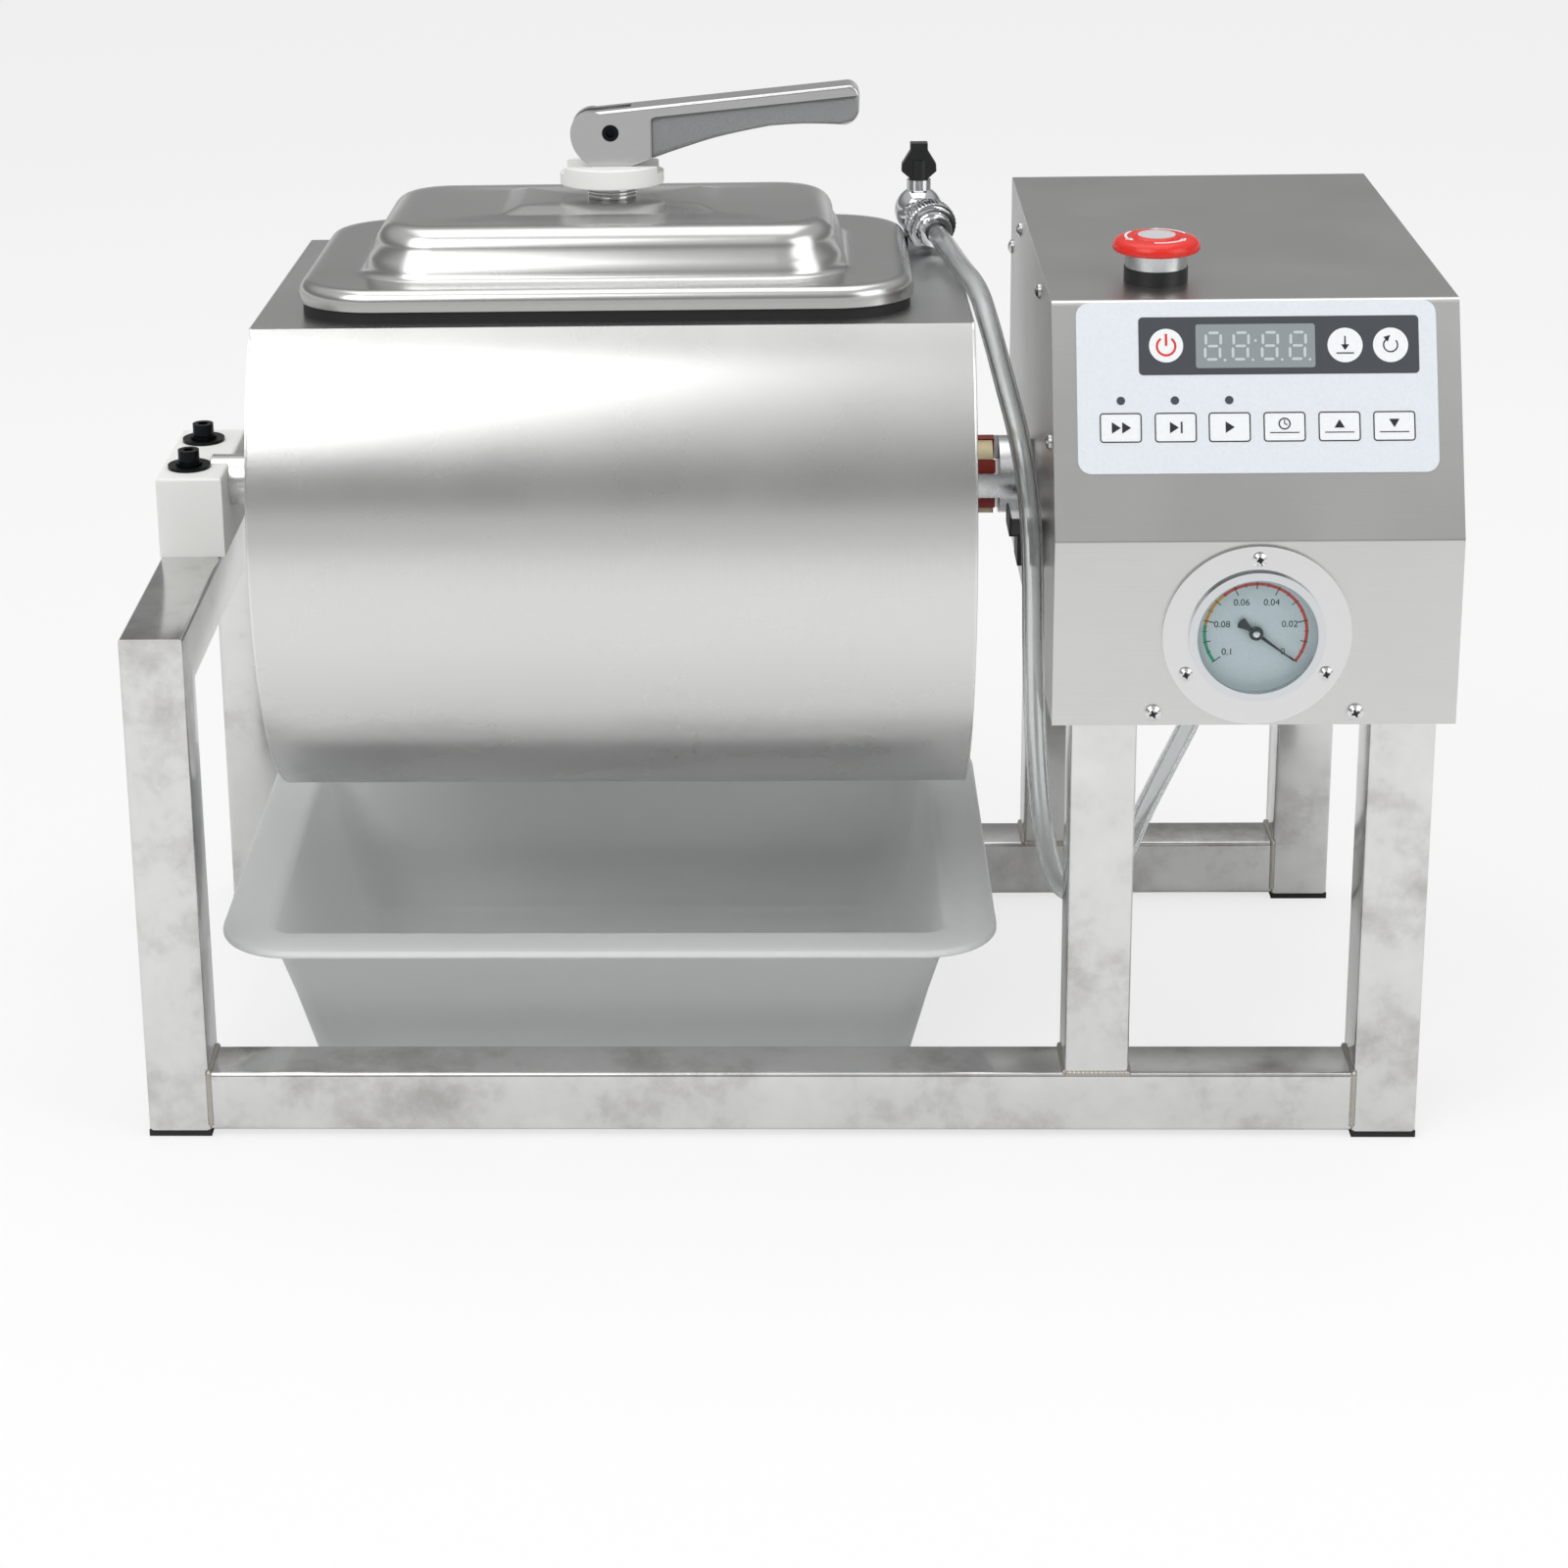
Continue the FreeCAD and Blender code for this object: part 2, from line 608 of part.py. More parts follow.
def make_valve():
    """A small valve with a butterfly handle on top, and the hose coupler on its outlet."""
    x, y = VALVE_BASE
    back = DRUM_PLACE.inverse()
    middle = back.multVec(VALVE_CENTRE)
    along = DRUM_PLACE.Rotation.inverted().multVec(OUTLET)
    hexagon = Part.makePolygon([Vector(x + 11.5 * math.cos(k * math.pi / 3), y + 11.5 * math.sin(k * math.pi / 3), FLAT)
                                for k in range(7)])
    nut = Part.Face(hexagon).extrude(Vector(0, 0, 7))
    stem = Part.makeCylinder(8, middle.z - FLAT, Vector(x, y, FLAT))
    globe = Part.makeSphere(12, middle)
    outlet = Part.makeCylinder(9, 14, middle, along)
    gland = Part.makeCylinder(6, 15.5, middle)
    valve = nut.fuse([stem, globe, outlet, gland]).removeSplitter()
    solid_node("valve_body", valve, DRUM_PLACE)

    rings = ((14, 2, 11.5), (16, 7, 12.5), (23, 2, 11), (25, 5, 8.2))
    coupler = [Part.makeCylinder(radius, length, middle + along * start, along) for start, length, radius in rings]
    solid_node("hose_coupler", coupler[0].fuse(coupler[1:]).removeSplitter(), DRUM_PLACE)

    top = middle.z + 15.5
    handle = new_body("valve_handle", DRUM_PLACE)
    hub = new_sketch(handle, "XY", top)
    circle(hub, middle.x, middle.y, 4.8)
    pad(handle, hub, 10)
    wings = new_sketch(handle, "XZ", 3.5 - middle.y)
    base = middle.x
    polygon(wings, [(base - 3.6, top), (base + 3.6, top), (base + 8.7, top + 4.5), (base + 8.5, top + 8),
                    (base + 4.2, top + 15), (base - 4.2, top + 15), (base - 8.5, top + 8), (base - 8.7, top + 4.5)])
    pad(handle, wings, 7, back=True)
    cap = new_sketch(handle, "XY", top + 15)
    rectangle(cap, middle.x, middle.y, 8.6, 8.2)
    pad(handle, cap, 3.6)


# ---------------------------------------------------------------- control housing
SLOPE_FOOT = Vector(0, size("housingFront"), size("slopeFoot"))
SLOPE_TOP = Vector(0, size("slopeTopY"), size("housingTop"))
SLOPE_ANGLE = math.degrees(math.atan2(SLOPE_TOP.z - SLOPE_FOOT.z, SLOPE_TOP.y - SLOPE_FOOT.y))
HOUSING_MIDDLE = (size("housingLeft") + size("housingRight")) / 2
FRONT_SCREW_X = (HOUSING_MIDDLE - 45.5, HOUSING_MIDDLE + 45.5)
SIDE_SCREWS = ((83, 385), (-45, 385), (142, 362), (-119, 333))
SCREW_HOLE = 2.0


def slope_place(depth=0.0):
    """A frame on the sloped front: X across, Y up the slope, Z out of it; negative depth is inside."""
    turn = Rotation(Vector(1, 0, 0), SLOPE_ANGLE)
    return Placement(SLOPE_FOOT + Vector(HOUSING_MIDDLE, 0, 0) + turn.multVec(Vector(0, 0, depth)), turn)


def housing_profile(inset):
    """The housing's side outline from the front's foot over the top to the back's foot."""
    front, back = size("housingFront") + inset, size("housingBack") - inset
    low, top = size("housingBottom"), size("housingTop") - inset
    lean = math.radians(SLOPE_ANGLE)
    foot = size("slopeFoot") - inset * math.tan((math.pi / 2 - lean) / 2)
    reach = inset * math.tan(lean / 2)
    return [(front, low), (front, foot), (size("slopeTopY") + reach, top), (back, top), (back, low)]


def make_housing():
    sheet_t = size("housingSheet")
    left, right = size("housingLeft"), size("housingRight")
    cover = new_body("housing_cover")
    section = new_sketch(cover, "YZ", "Sizes.housingLeft")
    outer, inner = housing_profile(0), housing_profile(sheet_t)
    polygon(section, outer + inner[::-1])
    bent = pad(cover, section, "Sizes.housingRight - Sizes.housingLeft")
    bends = {(round(y, 2), round(z, 2)): 3.0 for y, z in outer[1:4]}
    bends.update({(round(y, 2), round(z, 2)): 1.5 for y, z in inner[1:4]})
    for radius in (3.0, 1.5):
        bent = fillet(cover, bent, radius, lambda edge, r=radius: edge.BoundBox.XLength > 100 and bends.get(
            (round(edge.BoundBox.Center.y, 2), round(edge.BoundBox.Center.z, 2))) == r)
    openings = new_sketch(cover, "XZ", -size("housingFront") + 1)
    circle(openings, size("gaugeX"), size("gaugeHeight"), size("caseRadius") + 0.2)
    for x in FRONT_SCREW_X:
        circle(openings, x, size("housingBottom") + 6, SCREW_HOLE)
    for x, z in gauge_screws(size("gaugeX"), size("gaugeHeight")):
        circle(openings, x, z, SCREW_HOLE)
    pocket(cover, openings, 4)
    stop_hole = new_sketch(cover, "XY", size("housingTop") + 1)
    circle(stop_hole, size("stopX"), size("stopY"), 11.1)
    pocket(cover, stop_hole, 4)
    inlet_hole = new_sketch(cover, "XZ", -size("housingBack") - 1)
    rectangle(inlet_hole, *INLET, 40, 26)
    pocket(cover, inlet_hole, 4, back=True)
    window = box("window_tool", (0, 0, 0), (STRIP["wide"] - 8, 25, 12))
    corner = Vector(STRIP["x"] - STRIP["wide"] / 2 + 4, STRIP["low"] + 0.6, -6)
    window.Placement = slope_place().multiply(Placement(corner, Rotation()))
    NODES.remove(cover)
    cover.Label = "bent_cover"
    keep(cut_from("housing_cover", cover, window), "housing_cover")

    panel_outline = housing_profile(sheet_t + 0.05)
    for label, start in (("housing_left_panel", left), ("housing_right_panel", right - sheet_t)):
        panel = new_body(label)
        plate = new_sketch(panel, "YZ", start)
        polygon(plate, panel_outline)
        pad(panel, plate, "Sizes.housingSheet")
        holes = new_sketch(panel, "YZ", start + sheet_t + 1)
        for y, z in SIDE_SCREWS:
            circle(holes, y, z, SCREW_HOLE)
        if start == left:
            circle(holes, 0, AXIS_HEIGHT, 17.2)
        pocket(panel, holes, 4)

    tray_low = size("housingBottom")
    base = new_body("housing_base")
    plate = new_sketch(base, "XY", tray_low)
    inside_left, inside_right = left + sheet_t + 0.1, right - sheet_t - 0.1
    deep = size("housingBack") - size("housingFront") - 2 * sheet_t - 0.2
    rectangle(plate, HOUSING_MIDDLE, 0, inside_right - inside_left, deep)
    pad(base, plate, "Sizes.housingSheet")
    for y in (-deep / 2 + sheet_t / 2, deep / 2 - sheet_t / 2):
        flange = new_sketch(base, "XY", tray_low)
        rectangle(flange, HOUSING_MIDDLE, y, 100, sheet_t)
        pad(base, flange, 12)
    screw_holes = new_sketch(base, "XZ", -size("housingFront") - 1)
    for x in FRONT_SCREW_X:
        circle(screw_holes, x, tray_low + 6, SCREW_HOLE)
    pocket(base, screw_holes, 5)
    legs = new_sketch(base, "XY", tray_low + 20)
    for x in (size("middleLegX"), size("rightLegX")):
        for y in (-1, 1):
            rectangle(legs, x, y * 141.5, 31, 39)
    pocket(base, legs, 25)
    port = new_sketch(base, "XY", tray_low + 5)
    circle(port, *PORT, 7.05)
    pocket(base, port, 10)

    shelf = new_body("mount_plate")
    sheet_low = new_sketch(shelf, "XY", "Sizes.plateLow")
    rectangle(sheet_low, 213.5, 45, 165, 190)
    pad(shelf, sheet_low, "Sizes.plateThick")
    make_screws()


def make_screws():
    """Small pan-head screws: two in the front, four in each side panel."""
    front = size("housingFront")
    height = size("housingBottom") + 6
    parts = []
    for x in FRONT_SCREW_X:
        parts.append(pan_screw(Vector(x, front, height), Vector(0, -1, 0)))
    for x, out in ((size("housingLeft"), -1), (size("housingRight"), 1)):
        for y, z in SIDE_SCREWS:
            parts.append(pan_screw(Vector(x, y, z), Vector(out, 0, 0)))
    solid_node("housing_screws", Part.makeCompound(parts))


def pan_screw(seat, out, head=3.75, high=2.2, shank=6):
    """A pan head on a seat with a shallow recess, and its shank going in."""
    dome = Part.makeCylinder(head, high * 0.5, seat, out)
    crown = Part.makeCone(head, head * 0.55, high * 0.5, seat + out * high * 0.5, out)
    drive = Part.makeCylinder(1.2, high * 0.6, seat + out * high * 0.5, out)
    stalk = Part.makeCylinder(1.9, shank, seat, out * -1)
    return dome.fuse([crown, stalk]).cut(drive).removeSplitter()


# ---------------------------------------------------------------- keypad, gauge, emergency stop
FILM = {"wide": 160.4, "low": 30.6, "high": 108}
STRIP = {"x": 9.9, "low": 75, "high": 101.2, "wide": 124.8}


def make_keypad():
    film = new_body("keypad_membrane", slope_place())
    face = new_sketch(film, "XY")
    rectangle(face, 0, (FILM["low"] + FILM["high"]) / 2, FILM["wide"], FILM["high"] - FILM["low"], 6)
    middle = (STRIP["low"] + STRIP["high"]) / 2
    rectangle(face, STRIP["x"], middle, STRIP["wide"], STRIP["high"] - STRIP["low"], 2)
    pad(film, face, 0.8)
    window = new_body("display_window", slope_place())
    glass = new_sketch(window, "XY")
    rectangle(glass, STRIP["x"], middle, STRIP["wide"], STRIP["high"] - STRIP["low"], 2)
    pad(window, glass, 0.9)

    board = new_body("control_board", slope_place())
    sheet_in = new_sketch(board, "XY", -14)
    rectangle(sheet_in, 0, 66, 150, 70)
    pad(board, sheet_in, 1.6)
    module = new_sketch(board, "XY", -12.4)
    rectangle(module, -0.5, middle, 50, 19)
    pad(board, module, 10.4)
    parts = new_sketch(board, "XY", -12.4)
    for x in (-62, 40, 60):
        circle(parts, x, middle, 4)
    for x in (-61, -36.5, -12.5, 12, 36.5, 60.5):
        rectangle(parts, x, 51, 6, 6)
    pad(board, parts, 5)
    posts = new_sketch(board, "XY", -1.5)
    for x in (-71, 71):
        for y in (35, 97):
            circle(posts, x, y, 2.5)
    pad(board, posts, 11, back=True)


def make_gauge():
    """A flanged round gauge let into the front; Y runs from its glass back into the housing."""
    x, z, face = size("gaugeX"), size("gaugeHeight"), -size("housingFront")
    flange = new_body("gauge_flange")
    ring = new_sketch(flange, "XZ", face)
    circle(ring, x, z, "flangeRadius")
    circle(ring, x, z, "caseRadius")
    for px, pz in gauge_screws(x, z):
        circle(ring, px, pz, 1.9)
    pad(flange, ring, 2)

    case = new_body("gauge_case")
    wall = new_sketch(case, "XZ", face + 2)
    circle(wall, x, z, "caseRadius")
    circle(wall, x, z, size("caseRadius") - 1.5)
    pad(case, wall, size("caseDepth") + 2, back=True)
    closed = new_sketch(case, "XZ", face - size("caseDepth"))
    circle(closed, x, z, "caseRadius")
    pad(case, closed, 1.5, back=True)
    bezel = new_sketch(case, "XZ", face + 2)
    circle(bezel, x, z, 30.6)
    circle(bezel, x, z, 27)
    pad(case, bezel, 2.5)
    stalk = new_sketch(case, "XZ", face - size("caseDepth") - 1.5)
    circle(stalk, x, z, 6)
    pad(case, stalk, 12, back=True)

    dial_steps = ((28.5, face - 4.5, 1), (1, face - 3.5, 1.0))
    for label, steps in (("gauge_dial", dial_steps), ("gauge_glass", ((27, face + 2.2, 1.6),))):
        disc = new_body(label)
        for radius, start, thick in steps:
            round_face = new_sketch(disc, "XZ", start)
            circle(round_face, x, z, radius)
            pad(disc, round_face, thick)
    needle = new_body("gauge_needle")
    tip = math.radians(-37)
    across = (math.cos(tip), math.sin(tip))
    side = (-across[1], across[0])
    pointer = new_sketch(needle, "XZ", face - 2.2)
    polygon(pointer, [(x + a * across[0] + b * side[0], z + a * across[1] + b * side[1])
                      for a, b in ((-8, -1.6), (22, -0.5), (22, 0.5), (-8, 1.6))])
    pad(needle, pointer, 0.8)
    boss = new_sketch(needle, "XZ", face - 2.4)
    circle(boss, x, z, 3.4)
    pad(needle, boss, 2)
    screws = [pan_screw(Vector(px, -face - 2, pz), Vector(0, -1, 0), 3.2, 1.8, 8) for px, pz in gauge_screws(x, z)]
    solid_node("gauge_screws", Part.makeCompound(screws))


def gauge_screws(x, z):
    return [(x + 36.3 * math.cos(math.radians(a)), z + 36.3 * math.sin(math.radians(a))) for a in (90, 210, 330)]


def make_stop():
    """The emergency stop: collars on the top sheet, a mushroom head on its stem, a contact block below."""
    x, y, top = size("stopX"), size("stopY"), size("housingTop")
    lower = new_body("estop_lower_collar")
    ring = new_sketch(lower, "XY", top)
    circle(ring, x, y, "collarRadius")
    circle(ring, x, y, 5.3)
    pad(lower, ring, 7)
    barrel = new_sketch(lower, "XY", top - 24)
    circle(barrel, x, y, 11)
    circle(barrel, x, y, 5.3)
    pad(lower, barrel, 24)
    upper = new_body("estop_upper_collar")
    ring = new_sketch(upper, "XY", top + 7)
    circle(ring, x, y, 14.2)
    circle(ring, x, y, 5.3)
    fillet(upper, pad(upper, ring, 8), 1.2, at_height(top + 15))
    block = new_body("estop_contact_block")
    case = new_sketch(block, "XY", top - 56)
    rectangle(case, x, y, 30, 38, 2)
    pad(block, case, 32)
    well = new_sketch(block, "XY", top - 24)
    circle(well, x, y, 6)
    pocket(block, well, 14)
    stem = new_body("estop_stem")
    core = new_sketch(stem, "XY", top - 30)
    circle(core, x, y, 5)
    pad(stem, core, 30 + 19.3)
    head = new_body("estop_head")
    cap = new_sketch(head, "XY", top + 14.5)
    circle(cap, x, y, "stopHeadRadius")
    mushroom = pad(head, cap, 7)
    fillet(head, mushroom, 2.5, at_height(top + 21.5))
    under = new_sketch(head, "XY", top + 14.5)
    circle(under, x, y, size("collarRadius") + 0.9)
    pocket(head, under, 4.8, back=True)


# ---------------------------------------------------------------- drive, pump and services
PORT = (204, -43)
INLET = (226, 300)


def make_drive():
    left = size("housingLeft") + size("housingSheet")
    shaft_offset = 18
    middle = AXIS_HEIGHT + shaft_offset
    gearbox = new_body("gearbox")
    case = new_sketch(gearbox, "YZ", left)
    rectangle(case, 0, middle, 88, 88, 6)
    pad(gearbox, case, 58)
    nose = new_sketch(gearbox, "YZ", left)
    circle(nose, 0, AXIS_HEIGHT, 17)
    pad(gearbox, nose, 5.5, back=True)
    bore = new_sketch(gearbox, "YZ", left - 6)
    circle(bore, 0, AXIS_HEIGHT, 6 + size("boreClearance"))
    pocket(gearbox, bore, 20, back=True)
    motor = new_body("drive_motor")
    for start, length, radius in ((left + 58, 8, 43), (left + 66, 74, 41.5), (left + 140, 14, 43)):
        can = new_sketch(motor, "YZ", start)
        circle(can, 0, middle, radius)
        pad(motor, can, length)

    floor = size("plateLow") + size("plateThick")
    pump_base = box("pump_base", (150, 62, floor), (62, 54, 50))
    pump_motor = rod("pump_motor", (212, 89, floor + 25), 20, 52, (1, 0, 0))
    pump_foot = box("pump_foot", (216, 74, floor), (40, 30, 6))
    barbs = [rod(f"pump_barb_{n}", (168 + 26 * n, 89, floor + 50), 3, 14) for n in range(2)]
    keep(joined("vacuum_pump", [pump_base, pump_motor, pump_foot, *barbs]), "vacuum_pump")

    bottom = size("housingBottom")
    nut = doc.addObject("Part::Prism", "port_nut")
    nut.Polygon = 6
    nut.Circumradius = 11
    nut.Height = 5
    nut.Placement = Placement(Vector(*PORT, bottom - 5), Rotation())
    thread = rod("port_thread", (*PORT, bottom - 5), 7, 22)
    back_nut = doc.addObject("Part::Prism", "port_back_nut")
    back_nut.Polygon = 6
    back_nut.Circumradius = 11
    back_nut.Height = 5
    back_nut.Placement = Placement(Vector(*PORT, bottom + size("housingSheet")), Rotation())
    keep(joined("vacuum_port", [nut, thread, back_nut]), "vacuum_port")

    inlet = new_body("power_inlet")
    back = size("housingBack")
    for wide, high, start, thick, corner in ((50, 31, back, 3, 3), (38, 24, back - 22, 22, 2), (31, 24.5, back + 3, 1.5, 3)):
        plate = new_sketch(inlet, "XZ", -start)
        rectangle(plate, *INLET, wide, high, corner)
        pad(inlet, plate, thick, back=True)
    socket = new_sketch(inlet, "XZ", -back - 5)
    rectangle(socket, *INLET, 24.5, 17, 3)
    pocket(inlet, socket, 20, back=True)
    pins = new_sketch(inlet, "XZ", -back + 16)
    for dx, dz in ((-7, -2), (7, -2), (0, 2)):
        rectangle(pins, INLET[0] + dx, INLET[1] + dz, 2, 4)
    pad(inlet, pins, 15, back=True)

    sensor = box("sensor_case", (size("housingLeft") - 10, -60, 254), (10, 22, 15))
    ledge = box("sensor_ledge", (size("housingLeft") - 14, -61, 269), (14, 24, 1.2))
    lip = box("sensor_lip", (size("housingLeft") - 14, -61, 270.2), (1.2, 24, 8))
    keep(joined("position_sensor", [sensor, ledge, lip]), "position_sensor")


# ---------------------------------------------------------------- tray
TRAY_DRAFT = 11.6


def make_tray():
    rim, wall = size("rimHeight"), 2.2
    x, y = size("trayX"), size("trayY")
    length, width = size("rimLength"), size("rimWidth")
    tray = new_body("drip_tray")
    floor_length, floor_width = size("rimLength") - 80, size("rimWidth") - 80
    floor = new_sketch(tray, "XY")
    rectangle(floor, x, y, floor_length, floor_width, 22)
    outer = pad(tray, floor, "Sizes.rimHeight")
    outer.TaperAngle = TRAY_DRAFT
    fillet(tray, outer, 4, at_height(0))
    lip = new_sketch(tray, "XY", "Sizes.rimHeight")
    rectangle(lip, x, y, length, width, 36)
    pad(tray, lip, "Sizes.rimDrop", back=True)
    inside = new_sketch(tray, "XY", wall)
    rectangle(inside, x, y, floor_length - 2 * wall + 1, floor_width - 2 * wall + 1, 20)
    hollow = pocket(tray, inside, rim, back=True)
    hollow.TaperAngle = TRAY_DRAFT
    below = new_sketch(tray, "XY", rim - size("rimDrop"))
    rectangle(below, x, y, length - 2 * wall, width - 2 * wall, 36 - wall)
    rectangle(below, x, y, length - 46.5, width - 46.5, 36)
    pocket(tray, below, size("rimDrop") - wall, back=True)


# ---------------------------------------------------------------- hose
HOSE_ROUTE = [
    HOSE_START,
    HOSE_START + OUTLET * 20,
    Vector(87, -8, 387.4),
    Vector(92.8, -42, 386.6),
    Vector(96.5, -73, 377),
    Vector(102, -96, 357.3),
    Vector(108.7, -114, 333.1),
    Vector(112.6, -125.5, 307.5),
    Vector(113.8, -136, 278.7),
    Vector(113.8, -143, 241.5),
    Vector(115.6, -141.5, 196),
    Vector(120, -129, 152.6),
    Vector(126.5, -112, 119),
    Vector(134, -102, 104),
    Vector(145, -88, 96),
    Vector(157, -73, 97),
    Vector(167, -60, 106),
    Vector(175, -51, 122),
    Vector(188, -44, 146),
    Vector(204, -43, 180),
    Vector(204, -43, 204),
]


def round_path(points):
    """Straight runs joined by tangent arcs, each as large as its two runs allow. Prints the radii."""
    edges, radii = [], []
    start = points[0]
    for before, corner, after in zip(points, points[1:], points[2:]):
        into, out = (corner - before).normalize(), (after - corner).normalize()
        half_turn = into.getAngle(out) / 2
        reach = 0.45 * min((corner - before).Length, (after - corner).Length)
        radius = reach / math.tan(half_turn)
        first, last = corner - into * reach, corner + out * reach
        inward = (out - into).normalize()
        crest = corner + inward * (radius / math.cos(half_turn) - radius)
        edges += [Part.LineSegment(start, first).toShape(), Part.Arc(first, crest, last).toShape()]
        radii.append(round(radius, 1))
        start = last
    edges.append(Part.LineSegment(start, points[-1]).toShape())
    print("hose radii", radii, "runs", [round((b - a).Length, 1) for a, b in zip(points, points[1:])])
    return Part.Wire(edges)


def make_hose():
    path = round_path(HOSE_ROUTE)
    first_way = (HOSE_ROUTE[1] - HOSE_ROUTE[0]).normalize()
    ring = Part.Wire([Part.makeCircle(size("hoseRadius"), HOSE_ROUTE[0], first_way)])
    tube = path.makePipeShell([ring], True, True, 2)
    expected = math.pi * size("hoseRadius") ** 2 * path.Length
    print("hose length", round(path.Length, 1), "volume ratio", round(tube.Volume / expected, 4))
    solid_node("vacuum_hose", tube)


make_frame()
make_bearing()
make_drum()
make_coupling()
make_lid()
make_clamp()
make_valve()
make_housing()
make_keypad()
make_gauge()
make_stop()
make_drive()
make_tray()
make_hose()
doc.recompute()

failed = [o.Label for o in doc.Objects if "Invalid" in o.State or "Error" in o.State]
if failed:
    raise RuntimeError(f"features that failed: {failed}")
for node in NODES:
    if node.Shape.isNull() or not node.Shape.isValid() or not node.Shape.Solids:
        raise RuntimeError(f"{node.Label} has no valid shape")
os.makedirs("parts", exist_ok=True)
for node in NODES:
    node.Shape.exportStep(f"parts/{node.Label}.step")
    bounds = node.Shape.BoundBox
    print(f"{node.Label}: {len(node.Shape.Solids)} solid(s), volume {node.Shape.Volume:.0f},"
          f" z {bounds.ZMin:.1f} to {bounds.ZMax:.1f}")
print(len(NODES), "nodes")
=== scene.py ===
import math

import bmesh
import bpy
import numpy as np
from mathutils import Matrix, Vector


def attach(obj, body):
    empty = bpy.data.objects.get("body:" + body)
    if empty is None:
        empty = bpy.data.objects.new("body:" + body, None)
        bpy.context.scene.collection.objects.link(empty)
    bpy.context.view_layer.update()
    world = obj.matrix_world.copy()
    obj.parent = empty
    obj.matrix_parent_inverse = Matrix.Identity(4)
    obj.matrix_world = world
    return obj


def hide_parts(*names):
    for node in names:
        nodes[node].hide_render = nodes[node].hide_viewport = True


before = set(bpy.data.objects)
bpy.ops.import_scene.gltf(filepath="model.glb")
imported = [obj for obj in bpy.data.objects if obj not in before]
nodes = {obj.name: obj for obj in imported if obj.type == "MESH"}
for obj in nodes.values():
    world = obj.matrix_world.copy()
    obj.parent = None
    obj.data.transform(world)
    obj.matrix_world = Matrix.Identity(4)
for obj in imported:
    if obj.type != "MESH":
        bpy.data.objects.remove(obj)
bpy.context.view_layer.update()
print("frame loaded:", len(nodes), "nodes")


# ---- colours and nodes
def linearColour(hexText, alpha=1.0):
    # sRGB hex to linear light
    parts = [int(hexText[i:i + 2], 16) / 255 for i in (1, 3, 5)]
    return tuple(v / 12.92 if v <= 0.04045 else ((v + 0.055) / 1.055) ** 2.4 for v in parts) + (alpha,)


def addNode(material, kind, settings=None, links=None):
    # one node: settings go to its sockets when they have that name or number, else to the node itself
    node = material.node_tree.nodes.new(kind)
    for name, value in (settings or {}).items():
        if isinstance(name, int) or name in node.inputs:
            node.inputs[name].default_value = value
        else:
            setattr(node, name, value)
    for name, source in (links or {}).items():
        material.node_tree.links.new(source, node.inputs[name])
    return node


def startMaterial(name, settings):
    material = bpy.data.materials.new(name)
    material.use_nodes = True
    material.node_tree.nodes.clear()
    shader = addNode(material, "ShaderNodeBsdfPrincipled", settings)
    addNode(material, "ShaderNodeOutputMaterial", links={"Surface": shader.outputs["BSDF"]})
    return material, shader


def rampStops(node, stops):
    ramp = node.color_ramp
    while len(ramp.elements) < len(stops):
        ramp.elements.new(0.5)
    for element, (place, colour) in zip(ramp.elements, stops):
        element.position = place
        element.color = colour


def join(material, source, target):
    material.node_tree.links.new(source, target)


# ---- materials
brushed = {"across": 2600, "along": 26, "depth": 0.00004}  # strokes per metre, and their depth in metres


def brushedSteel(name, hexText, way, rough=0.3, depth=1.0, cloud=0.05):
    # 304 sheet rubbed with a fine belt: straight strokes along one way, faint clouds from handling
    material, shader = startMaterial(name, {"Base Color": linearColour(hexText), "Metallic": 1.0,
                                            "Roughness": rough})
    place = addNode(material, "ShaderNodeTexCoord")
    stretch = [brushed["along"] if axis == way else brushed["across"] for axis in "XYZ"]
    mapped = addNode(material, "ShaderNodeMapping", {"Scale": stretch}, {"Vector": place.outputs["Object"]})
    strokes = addNode(material, "ShaderNodeTexNoise", {"Scale": 1.0, "Detail": 3.0, "Roughness": 0.6},
                      {"Vector": mapped.outputs["Vector"]})
    clouds = addNode(material, "ShaderNodeTexNoise", {"Scale": 14.0, "Detail": 4.0},
                     {"Vector": place.outputs["Object"]})
    level = addNode(material, "ShaderNodeMapRange", {"To Min": rough - 0.05, "To Max": rough + 0.07},
                    {"Value": clouds.outputs["Fac"]})
    join(material, level.outputs["Result"], shader.inputs["Roughness"])
    tone = addNode(material, "ShaderNodeValToRGB", links={"Fac": strokes.outputs["Fac"]})
    base = linearColour(hexText)
    rampStops(tone, [(0.25, tuple(v * (1 - cloud) for v in base[:3]) + (1,)), (0.75, base)])
    join(material, tone.outputs["Color"], shader.inputs["Base Color"])
    bump = addNode(material, "ShaderNodeBump", {"Strength": 0.35 * depth, "Distance": brushed["depth"]},
                   {"Height": strokes.outputs["Fac"]})
    join(material, bump.outputs["Normal"], shader.inputs["Normal"])
    return material


